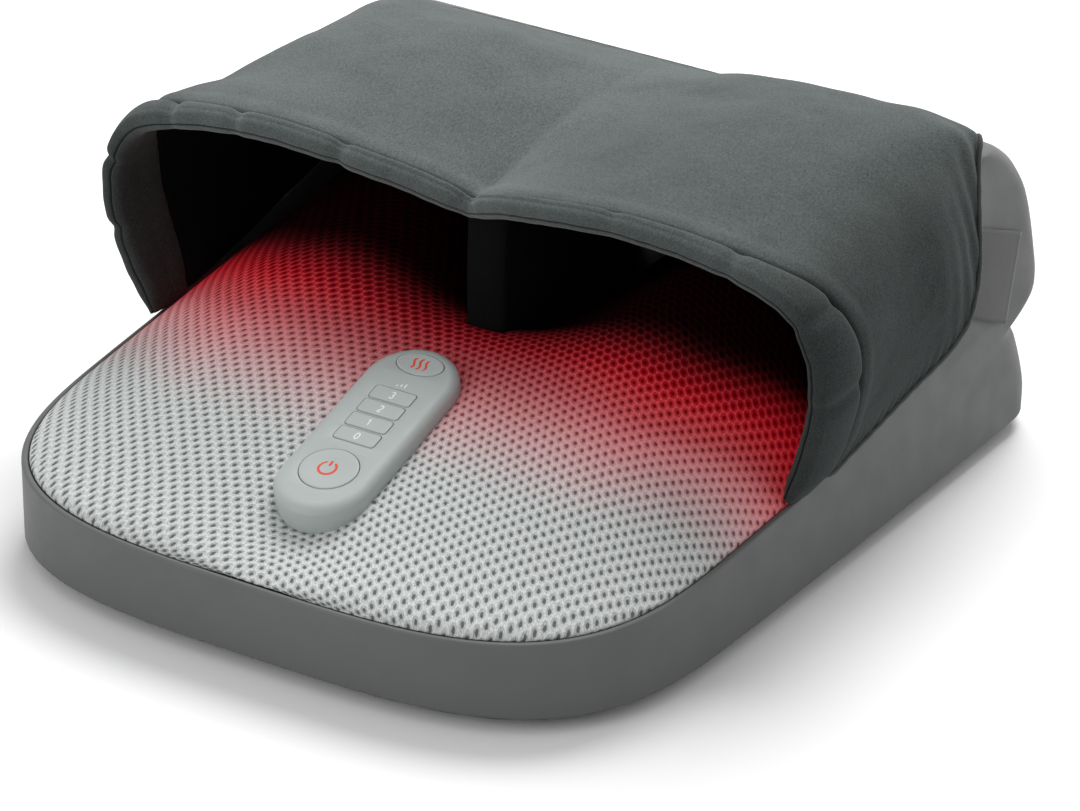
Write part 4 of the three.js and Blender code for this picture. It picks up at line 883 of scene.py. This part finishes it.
def drape(across, along, side):
    """How far the cloth hangs below (or stands above) its even form, and it isn't alike on both sides."""
    shoulder = smoothstep(across, 0.3, 0.42) * (1 - smoothstep(across, 0.62, 0.8))
    low = LEFT_DROP * shoulder * smoothstep(along, 0.1, 0.3) * (1 - smoothstep(along, 0.62, 0.88))
    crown = smoothstep(across, 0.34, 0.52) * (1 - smoothstep(across, 0.78, 1))
    high = RIGHT_RISE * crown * smoothstep(along, 0.62, 0.88) * (1 - smoothstep(along, 0.95, 1))
    return np.where(side < 0, low, -high)


def painted_shading_of(across, side):
    """Painted light and shade on the hood: darker down the sides, paler over the crown, and the right
    side darker than the left.
    """
    crown = 0.42 + 0.58 * smoothstep(across, 0.3, 0.56)
    return crown * (1 - np.where(side > 0, 0.2, 0.06) * (1 - smoothstep(across, 0.8, 1.0)))


def hood_fold(across, along, share, side, past_hem):
    """How far the cloth stands out: slow folds, a fan and puckers at the seam, a roll behind the hem."""
    x, y, z = hood_point(across, along).T
    x = x * side
    fold = FOLD * waves(x, y, z, 11) * smoothstep(share, 0, 0.12)
    fan = np.sin(y * 0.42 + 5.0 * share) * smoothstep(along, 0.5, 0.9)
    fold += FOLD * fan * (1 - smoothstep(share, 0.05, 0.4)) * smoothstep(share, 0.0, 0.04)
    pucker = np.sin(0.78 * y + 1.4 * np.sin(0.13 * y + 2.0 * side)) * smoothstep(share, 0, 0.01)
    fold += FOLD / 2 * pucker * (1 - smoothstep(share, 0.015, 0.06))
    fold -= CREASE * np.exp(-(x / 5.0) ** 2) * math.exp(-along * 6)
    fold *= smoothstep(past_hem, 1, 18) * (1 - float(smoothstep(along, 0.93, 1.0)))
    fold += HEM_ROLL * np.sin(math.pi * np.clip(past_hem / 16, 0, 1)) ** 2
    return fold - 2.2 * (1 - smoothstep(past_hem, 0, 3.0))


def hood_row(along, half):
    """One row of the hood from the left edge to the right: its outside, its lining and its painted light
    and shade.
    """
    start, share, side = hood_start(along), np.linspace(0, 1, half + 1), sides_of(half)
    across, share = both_sides(start + (1 - start) * share), both_sides(share)
    past_hem = along * (HOOD_BACK - hem_place(across)[:, 0]) - (hem_width(across) - HEM_NOSE)
    fold = hood_fold(across, along, share, side, past_hem)
    hang = drape(across, along, side)
    thick = HOOD_EDGE + (HOOD_THICKNESS - HOOD_EDGE) * (1 - float(smoothstep(along, 0.84, 0.97)))
    under_hem = 2.5 * (1 - smoothstep(past_hem, 0, 3.0))
    lining = thick - np.maximum(hang, 0) - 0.4 * np.maximum(fold, -0.4) - under_hem
    outer, inner = hood_point(across, along, -fold), hood_point(across, along, lining)
    outer[:, 2] -= hang
    inner[:, 2] -= hang
    inner[:, 2] += np.minimum(hang, 0) * (1 - smoothstep(share, 0.0, 0.04))
    seat = half_width(inner[:, 1]) - lean(inner[:, 2]) - WALL - 0.4
    inner[:, 0] -= np.maximum(inner[:, 0] - seat, 0) * (1 - smoothstep(share, 0.0, 0.07))
    for p, over_side, over_roof in ((outer, GAP, 0.9), (inner, 0.1, 0)):
        p[:, 0] *= side
        if along > 0.8:
            roofed = (np.abs(p[:, 0]) < half_width(p[:, 1]) - SIDE_LEAN) & (p[:, 1] > SEAM_BACK - 3)
            p[:, 2] = np.maximum(p[:, 2], np.where(roofed, ROOF_HEIGHT + 0.4, 0) + over_roof)
        p[:, 2] = np.where(share < 0.02, np.maximum(p[:, 2], side_top(p[:, 1]) + over_side), p[:, 2])
    # Painted shade: a dark line in the seam behind the hem, and darker along the lower edge where the
    # hood meets the housing
    painted_shading = painted_shading_of(across, side) * (1 - 0.75 * np.exp(-(past_hem / 1.7) ** 2))
    return outer, inner, painted_shading * (1 - 0.6 * np.exp(-(share / 0.009) ** 2))


def hood():
    """Makes the hood and gives back its lower edge, which the piping follows."""
    rows, half = ((90, 120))
    along = np.concatenate([np.linspace(0, 0.2, rows // 3), np.linspace(0.2, 1, rows)[1:]])
    outer, inner, painted_shading = (np.array(part) for part in zip(*(hood_row(a, half) for a in along)))
    piece = make_object("hood_cloth", *two_sided(outer, inner), hood_pile)
    piece.data.materials.append(lining_pile)
    count = (outer.shape[0] - 1) * (outer.shape[1] - 1)
    for polygon in piece.data.polygons[count:2 * count]:
        polygon.material_index = 1
    lay(piece, "painted_shading", np.concatenate([painted_shading.ravel(), np.ones(painted_shading.size)]))
    recalc(piece)
    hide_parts("hood_cover")
    return np.vstack([outer[:, 0], outer[-1, 1:-1], outer[::-1, -1]])


def hem_profile(width):
    """The rolled hem cut across: how far back and how far in, from the outer seam round the nose."""
    s = np.linspace(0, 1, HEM_SAMPLES)
    bulge = 1.1 + 0.02 * width
    outer_in = -1.4 - bulge * np.sin(math.pi * s) ** 0.7 + 3.2 * np.exp(-s * width / 1.4)
    inner_in = HEM_DEPTH + 0.4 * np.sin(2 * math.pi * s) ** 2 - 1.9 * np.exp(-s * width / 1.8)
    inner_in -= 0.9 * np.exp(-((s - 0.5) * width / 1.1) ** 2)
    back = (width - HEM_NOSE) - (width - HEM_NOSE / 2) * s
    sunk = 1 - 0.3 * np.exp(-((NOSE_ANGLES - NOSE_SEAM) / 0.09) ** 2)
    nose_back = -HEM_NOSE / 2 - HEM_NOSE / 2 * np.cos(NOSE_ANGLES) * sunk
    nose_in = 4.0 + 5.3 * np.sin(NOSE_ANGLES)
    return (np.concatenate([back, nose_back, back[::-1]]),
            np.concatenate([outer_in, nose_in, inner_in[::-1]]))


def hem_rings():
    """The rolled hem: narrow at the notch, wide down the sides, one ring for each place across."""
    half = 190
    first = next(t for t in np.linspace(0, 0.3, 301)
                 if hood_point(t, 0)[2] > float(side_top(hood_point(t, 0)[1])) + 1.0)
    across = both_sides(first + (1 - first) * np.linspace(0, 1, half + 1))
    side, width, order = sides_of(half), hem_width(across), np.arange(len(across))
    end = smoothstep(np.minimum(order, order[::-1]), -1, 8)
    rings = []
    for i, (t, sign, w, e) in enumerate(zip(across, side, width, end)):
        kink = sum(depth * math.exp(-((t - place) / spread) ** 2)
                   for place, depth, spread in HEM_KINKS[sign])
        back, inward = hem_profile(w)
        inward = HEM_MIDDLE + (inward - HEM_MIDDLE) * (0.55 + 0.45 * e) * (1 - 0.16 * kink)
        ripple = 0.25 * math.sin(i * 0.31) + 0.18 * math.sin(i * 0.73 + 1.1)
        back = back + (2.4 * kink + ripple) * np.exp(-(back + HEM_NOSE) / 9)
        p = hood_point(t, back / (HOOD_BACK - float(hem_place(t)[0])), inward + 1.1 * kink)
        p[:, 0] *= sign
        p[:, 2] = np.maximum(p[:, 2], side_top(p[:, 1]) + GAP)
        rings.append(p)
    return np.array(rings), across, side, width


def hem():
    """The hood's rolled front edge with its stitches."""
    rings, across, side, width = hem_rings()
    piece = make_object("hood_rolled_hem", *closed_rings(rings), hood_pile)
    # Painted shade: darker at the outer seam, in the groove of the nose seam and on the inner facing; the
    # whole hem is also a tenth darker
    seam = np.concatenate([np.linspace(0, 1, HEM_SAMPLES), np.ones(rings.shape[1] - HEM_SAMPLES)])
    painted_shading = 1 - 0.75 * np.exp(-(seam[None, :] * width[:, None] / 1.5) ** 2)
    painted_groove_shade = 1 - 0.8 * np.exp(-((NOSE_ANGLES - NOSE_SEAM) / 0.07) ** 2)
    painted_shading *= np.concatenate([np.ones(HEM_SAMPLES), painted_groove_shade, np.full(HEM_SAMPLES, 0.9)])
    lay(piece, "painted_shading", (painted_shading_of(across, side)[:, None] * 0.9 * painted_shading).ravel())
    recalc(piece)
    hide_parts("hood_hem")
    along = (width / 2 - HEM_NOSE + HEM_NOSE / 4) / (HOOD_BACK - hem_place(across)[:, 0])
    line = hood_point(across, along, 9.0)
    line[:, 0] *= side
    stitches(line[line[:, 2] > side_top(line[:, 1]) + 3])


def stitches(line):
    """A run of thread stitches, each a small bowed loop half sunk in the cloth."""
    fine = resampled(line, STITCH_STEP)
    step, long = int(STITCH_PITCH / STITCH_STEP), int(STITCH / STITCH_STEP)
    bow = np.sin(np.linspace(0, math.pi, long + 1))
    parts = [tube_mesh(fine[k:k + long + 1], 0.12 + 0.2 * bow, 6)
             for k in range(step, len(fine) - long - 1, step)]
    recalc(make_object("hem_stitches", *joined(parts), thread_cloth))


def piping(edge):
    """The cord-edged binding sewn along the hood's lower edge, up one side, round the back and down."""
    past = np.nonzero(edge[:, 1] > TIP_PLACE + 20)[0]
    path = resampled(edge[past[0]:past[-1] + 1], PIPING_STEP)
    for _ in range(3):
        path[1:-1] = (path[:-2] + 2 * path[1:-1] + path[2:]) / 4
    run = np.gradient(path, axis=0)
    away = np.column_stack([run[:, 1], -run[:, 0]])
    away /= np.maximum(np.linalg.norm(away, axis=1, keepdims=True), 1e-6)
    outward = np.sign(np.sum(away * (path[:, :2] - (0, BED_BACK / 2)), axis=1))
    path[:, :2] += 0.6 * away * outward[:, None]
    behind = smoothstep(path[:, 1], SEAM_BACK, HOOD_BACK - 1)
    path[:, 1] += 0.8 * behind
    path[:, 2] += 0.7 - 2.5 * behind
    radius = PIPING_RADIUS + 0.1 * np.sin(np.arange(len(path)) * 0.9)
    piece = make_object("hood_piping", *tube_mesh(path, radius, 12), piping_cloth)
    recalc(piece)


def tag():
    """The blank woven side tag, sewn into the seam at one edge and lying against the housing."""
    u, v = np.meshgrid(np.linspace(0, 1, 26), np.linspace(0, 1, 24))
    shares = np.stack([(1 - u) * (1 - v), u * (1 - v), u * v, (1 - u) * v], -1)
    y, z = np.moveaxis(shares @ TAG_CORNERS, -1, 0)
    lift = 0.7 + 1.1 * np.sin(math.pi * u) * (0.4 + 0.6 * v) + 0.5 * u**2
    x = half_width(y) - SIDE_LEAN / (ROOF_HEIGHT - LEAN_FROM) * (z - LEAN_FROM) + lift
    rim = np.minimum(np.minimum(u, 1 - u), np.minimum(v, 1 - v))
    sewn = 0.25 * np.exp(-((rim - 0.07) / 0.02) ** 2)
    outer, inner = np.stack([x + TAG_THICKNESS - sewn, y, z], -1), np.stack([x, y, z], -1)
    piece = make_object("side_tag", *two_sided(outer, inner), label_cloth)
    recalc(piece)
    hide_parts("hood_label")


def divider():
    """The padded rib between the feet: rounded all along its edge."""
    under_hood = hood_point(1.0, np.linspace(0.6, 0.05, 30), HOOD_THICKNESS + 1.2)
    top = [(y, z) for _, y, z in under_hood]
    nose = [(197, 122), (197, 108), (197, 92), (198, 76), (200, 62)]
    low = [(203, 20), (204, 6.2), (212, 6.2), (213, 58), (222, 61), (DIVIDER_BACK, 64)]
    outline = resampled([(0, *p) for p in top + nose + low + [top[0]]], 3.0)[:-1, 1:]
    ahead, behind = np.roll(outline, -1, 0), np.roll(outline, 1, 0)
    run = ahead - behind
    run /= np.linalg.norm(run, axis=1, keepdims=True)
    normal = np.column_stack([-run[:, 1], run[:, 0]])
    normal *= np.sign(np.sum(outline[:, 0] * ahead[:, 1] - ahead[:, 0] * outline[:, 1]))
    for _ in range(3):
        normal = (normal + np.roll(normal, 1, 0) + np.roll(normal, -1, 0)) / 3
    rings = []
    for angle in np.linspace(-math.pi / 2, math.pi / 2, 15):
        yz = outline + normal * (DIVIDER_ROUND * (1 - math.cos(angle)))
        rings.append(np.column_stack([np.full(len(yz), DIVIDER_HALF * math.sin(angle)), yz]))
    piece = make_object("divider_pad", *closed_rings(rings), lining_pile)
    recalc(piece)
    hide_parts("centre_divider")


# Control panel
def stadium(inset, z):
    """A ring along the panel's outline, drawn in by an inset."""
    radius = PANEL_WIDTH / 2 - inset
    angle = np.linspace(0, math.pi, 41)
    end = np.column_stack([radius * np.cos(angle), PANEL_REACH + radius * np.sin(angle)])
    straight = np.linspace(1, -1, 25)[1:-1] * PANEL_REACH
    side = np.column_stack([np.full(len(straight), -radius), straight])
    ring = np.vstack([end, side, -end, -side])
    return np.column_stack([ring, np.full(len(ring), z)])


def rounded(size, y, grow, z, grow_along=None):
    """A ring along a level key's outline, grown across and, unless told otherwise, as much along."""
    grow_along = grow if grow_along is None else grow_along
    radius = max(0.3, KEY_CORNER + min(grow, grow_along))
    points = []
    for k, (right, up) in enumerate(((1, 1), (-1, 1), (-1, -1), (1, -1))):
        for angle in np.linspace(k * math.pi / 2, (k + 1) * math.pi / 2, 9):
            points.append((right * (size[0] / 2 + grow - radius) + radius * math.cos(angle),
                           y + up * (size[1] / 2 + grow_along - radius) + radius * math.sin(angle), z))
    return np.array(points)


KEYS = {
    "power_button": (ellipse, (29.0, 27.0), -31.7),
    "heat_button": (ellipse, (25.0, 14.5), 47.6),
    **{f"level_key_{i}": (rounded, KEY_SIZE, KEY_FIRST + KEY_PITCH * i) for i in range(4)},
}


def flat_with_holes(points, outline, holes):
    """Triangles between a flat outline and its holes, each given by the numbers of its points."""
    loops = [outline, *holes]
    order = [i for loop in loops for i in loop]
    triangles = tessellate_polygon([[Vector(points[i]) for i in loop] for loop in loops])
    return [tuple(order[i] for i in triangle) for triangle in triangles]


def panel_case():
    """The pill-shaped case: a wall with a rounded edge and a hole with a soft rim for each key."""
    rings = [stadium(0, z) for z in (-PANEL_DEPTH, -15.0, -8.0, -4.6)]
    rings += [stadium(5.4 * (1 - math.cos(a)), 4.2 * math.sin(a) - 4.2)
              for a in np.linspace(0.15, math.pi / 2, 12)]
    rings = rings[::-1] + [stadium(PANEL_WALL, z) for z in (-PANEL_DEPTH, -PANEL_WALL)]
    count = len(rings[0])
    start = len(rings) * count
    parts = [(np.concatenate(rings), grid_faces(len(rings), count, wrap=True))]
    outline_tops, outline_lows = range(count), range(start - count, start)
    lift = GAP + 0.05
    levels = [(lift + 0.3, 0.0), (lift + 0.1, -0.08), (lift, -0.3), (lift, -PANEL_WALL)]
    tops, lows = [], []
    for kind, size, y in KEYS.values():
        hole = [kind(size, y, grow, z) for grow, z in levels]
        n = len(hole[0])
        parts.append((np.concatenate(hole), grid_faces(len(hole), n, wrap=True)))
        tops.append(range(start, start + n))
        start += len(hole) * n
        lows.append(range(start - n, start))
    points, faces = joined(parts)
    faces += flat_with_holes(points, outline_tops, tops) + flat_with_holes(points, outline_lows, lows)
    piece = make_object("panel_pill", on_panel(points), faces, panel_plastic)
    recalc(piece)
    sharpen(piece, 30)
    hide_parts("panel_case")


def dish(name, share):
    """How far a key's face stands over the panel, from its edge (0) to its middle (1)."""
    return KEY_FACE - DISHES.get(name, 0.0) * smoothstep(share, 0.05, 0.9)


def key(name):
    """A key: the flange that holds it under the panel, its rounded edge, its dished face and its stem."""
    kind, size, y = KEYS[name]
    lip = -PANEL_WALL - GAP
    low = lip - KEY_FLANGE
    even = {} if kind is ellipse else {"grow_along": 0}
    rings = [kind(size, y, KEY_FLANGE, z, **even) for z in (low, lip)]
    rings += [kind(size, y, grow, z)
              for grow, z in ((0, lip), (0, -0.6), (0, -0.05), (-0.06, 0.12), (-0.2, 0.24),
                              (-0.45, KEY_FACE))]
    edge, middle = rings[-1], np.array((0.0, y, 0.0))
    for share in np.linspace(0, 0.985, 14)[1:]:
        ring = middle + (edge - middle) * (1 - share)
        ring[:, 2] = dish(name, share)
        rings.append(ring)
    stem = [ellipse((4, 4), y, 0, z, sides=24) for z in (low - 2.4, low + 0.2)]
    points, faces = joined([closed_rings(rings), closed_rings(stem)])
    piece = make_object(f"{name}_cap", on_panel(points), faces, key_plastic, name)
    recalc(piece)
    sharpen(piece, 40)
    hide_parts(name)


def stroke(path, width, height):
    """A flat printed line along a path in the panel's plane, with round ends."""
    fine = resampled(np.column_stack([path, np.zeros(len(path))]), PRINT_STEP)[:, :2]
    run = np.gradient(fine, axis=0)
    run /= np.linalg.norm(run, axis=1, keepdims=True)
    order = np.arange(len(fine))
    end = np.clip(np.minimum(order, order[::-1]) * PRINT_STEP / (width / 2), 0.02, 1)
    wide = width / 2 * np.sqrt(1 - (1 - end) ** 2)
    side = np.column_stack([-run[:, 1], run[:, 0]]) * wide[:, None]
    lines = [np.column_stack([fine + side * way, np.full(len(fine), height + over)])
             for way, over in ((1, -PRINT_SUNK), (1, PRINT), (-1, PRINT), (-1, -PRINT_SUNK))]
    return closed_rings(np.stack(lines, 1))


def icons():
    """Prints the signs and the numbers on the keys, and the level sign behind them."""
    y = KEYS["power_button"][2] + 0.5
    level = float(dish("power_button", 0.75)) + PRINT_OVER
    angle = np.radians(np.linspace(118, 422, 70))
    ring = stroke(np.column_stack([4.3 * np.cos(angle) - 1.2, y + 4.3 * np.sin(angle)]), 1.25, level)
    bar = stroke([(-1.2, y + 1.6), (-1.2, y + 6.0)], 1.25, level)
    made = [("power_mark", [ring, bar], icon_red, "power_button")]
    y = KEYS["heat_button"][2]
    level = float(dish("heat_button", 0.7)) + PRINT_OVER
    t = np.linspace(0, 1, 40)
    curl = 0.95 * np.sin(2 * math.pi * t) + (t - 0.5) * 0.8
    lines = [stroke(np.column_stack([shift + curl, y + (t - 0.5) * 8.2]), 1.0, level)
             for shift in (-3.3, 0.0, 3.3)]
    made.append(("heat_mark", lines, icon_red, "heat_button"))
    for i in range(4):
        name = f"level_key_{i}"
        path = (np.array(DIGITS[i]) - (0.5, 0.5)) * (2.6, 4.2) + (0, KEYS[name][2])
        made.append((f"{name}_mark", [stroke(path, 0.6, KEY_FACE + PRINT_OVER)], mark_white, name))
    y = KEYS["level_key_3"][2] + KEY_SIZE[1] / 2 + 2.3
    bars = [stroke([(x, y), (x, y + tall)], 0.75, PRINT_OVER)
            for x, tall in ((-2.1, 1.0), (0.0, 1.9), (2.1, 2.8))]
    made.append(("level_mark", bars, mark_white, "housing"))
    for name, parts, material, body in made:
        points, faces = joined(parts)
        piece = make_object(name, on_panel(points), faces, material, body)
        recalc(piece)
        sharpen(piece, 40)


# Pieces
housing()
foot_bed()
hood_edge = hood()
hem()
piping(hood_edge)
tag()
divider()
panel_case()
for key_name in KEYS:
    key(key_name)
icons()

# CAD nodes that keep their shape
FINISHES = [
    (steel, ("screw", "motor", "power_inlet")),
    (rubber, ("foot_", "air_hose")),
    (inner_plastic, ("toe_wall", "hood_frame", "panel_stand", "gearbox")),
    (air_film, ("air_bag",)),
    (board, ("panel_board", "main_board")),
    (acetal, ("drive_gear", "massage_head")),
    (brass, ("worm",)),
    (heater_film, ("heater",)),
]
for node_name, cad in frame["nodes"].items():
    chosen = next((m for m, starts in FINISHES if node_name.startswith(starts)), shell_plastic)
    if not cad.material_slots:
        cad.data.materials.append(chosen)
    for place in cad.material_slots:
        place.material = chosen


# Floor, light and camera
FLOOR_THROWN, FLOOR_NEAR, FLOOR_FAR, FLOOR_HALF = 0.62, 1.14, 2.4, 30
LAMP_SIZE, LAMP_TARGET = 1.8, Vector((0, 0, 0.1))


def seen_share(tree):
    """1 for the rays that show the surroundings themselves, 0 for the light they throw."""
    path = add(tree, "LightPath")
    seen = maths(tree, "ADD", path.outputs["Is Camera Ray"], path.outputs["Is Transmission Ray"],
                 clamp=True)
    return maths(tree, "ADD", seen, path.outputs["Is Glossy Ray"], clamp=True)


def stage_floor():
    """A floor that shows white, brighter further out, but throws back only some of the light."""
    material, tree, surface = blank("floor_white")
    tree.nodes.remove(surface)
    thrown = add(tree, "BsdfDiffuse", Color=(FLOOR_THROWN, FLOOR_THROWN, FLOOR_THROWN, 1)).outputs[0]
    far = vectors(tree, "LENGTH", add(tree, "NewGeometry").outputs["Position"], output="Value")
    white = ramp(tree, far, 0.3, 3.0, FLOOR_NEAR, FLOOR_FAR)
    shown = add(tree, "BsdfDiffuse", Color=grey(tree, white)).outputs[0]
    both = add(tree, "MixShader", Fac=seen_share(tree), i1=thrown, i2=shown).outputs[0]
    tree.links.new(both, tree.nodes["Material Output"].inputs[0])
    mesh = bpy.data.meshes.new("floor")
    corners = [(FLOOR_HALF * x, FLOOR_HALF * y, 0) for x, y in ((-1, -1), (1, -1), (1, 1), (-1, 1))]
    mesh.from_pydata(corners, [], [(0, 1, 2, 3)])
    mesh.materials.append(material)
    floor = bpy.data.objects.new("floor", mesh)
    bpy.context.scene.collection.objects.link(floor)


def world():
    """A white studio that shows brighter than the light it throws."""
    made = bpy.data.worlds.new("studio")
    made.use_nodes = True
    tree = made.node_tree
    tree.nodes.clear()
    soft, white = (add(tree, "Background", Color=(1, 1, 1, 1), Strength=strength).outputs[0]
                   for strength in (0.5, 1.0))
    both = add(tree, "MixShader", Fac=seen_share(tree), i1=soft, i2=white).outputs[0]
    tree.links.new(both, add(tree, "OutputWorld").inputs[0])
    bpy.context.scene.world = made


def lamp(name, place, power):
    """A round soft lamp turned to the model."""
    data = bpy.data.lights.new(name, "AREA")
    data.shape = "DISK"
    data.size, data.energy = LAMP_SIZE, power
    made = bpy.data.objects.new(name, data)
    made.location = place
    made.rotation_euler = (LAMP_TARGET - Vector(place)).to_track_quat("-Z", "Y").to_euler()
    bpy.context.scene.collection.objects.link(made)


def camera():
    """The camera as fitted to the photograph."""
    data = bpy.data.cameras.new("camera")
    data.lens, data.sensor_width = 192.8, 36
    data.clip_end = 100
    made = bpy.data.objects.new("camera", data)
    made.location = (1.33508, -2.07434, 1.33937)
    azimuth, height = math.radians(32.35713), math.radians(27.72735)
    back = Vector((math.sin(azimuth) * math.cos(height), -math.cos(azimuth) * math.cos(height),
                   math.sin(height)))
    made.rotation_euler = (-back).to_track_quat("-Z", "Y").to_euler()
    bpy.context.scene.collection.objects.link(made)
    bpy.context.scene.camera = made


stage_floor()
world()
lamp("key", (-0.25, 1.5, 2.2), 52)
lamp("fill", (-1.3, -2.6, 0.9), 17)
camera()
scene = bpy.context.scene
scene.view_settings.view_transform = "Standard"
scene.view_settings.look = "None"
scene.render.film_transparent = False
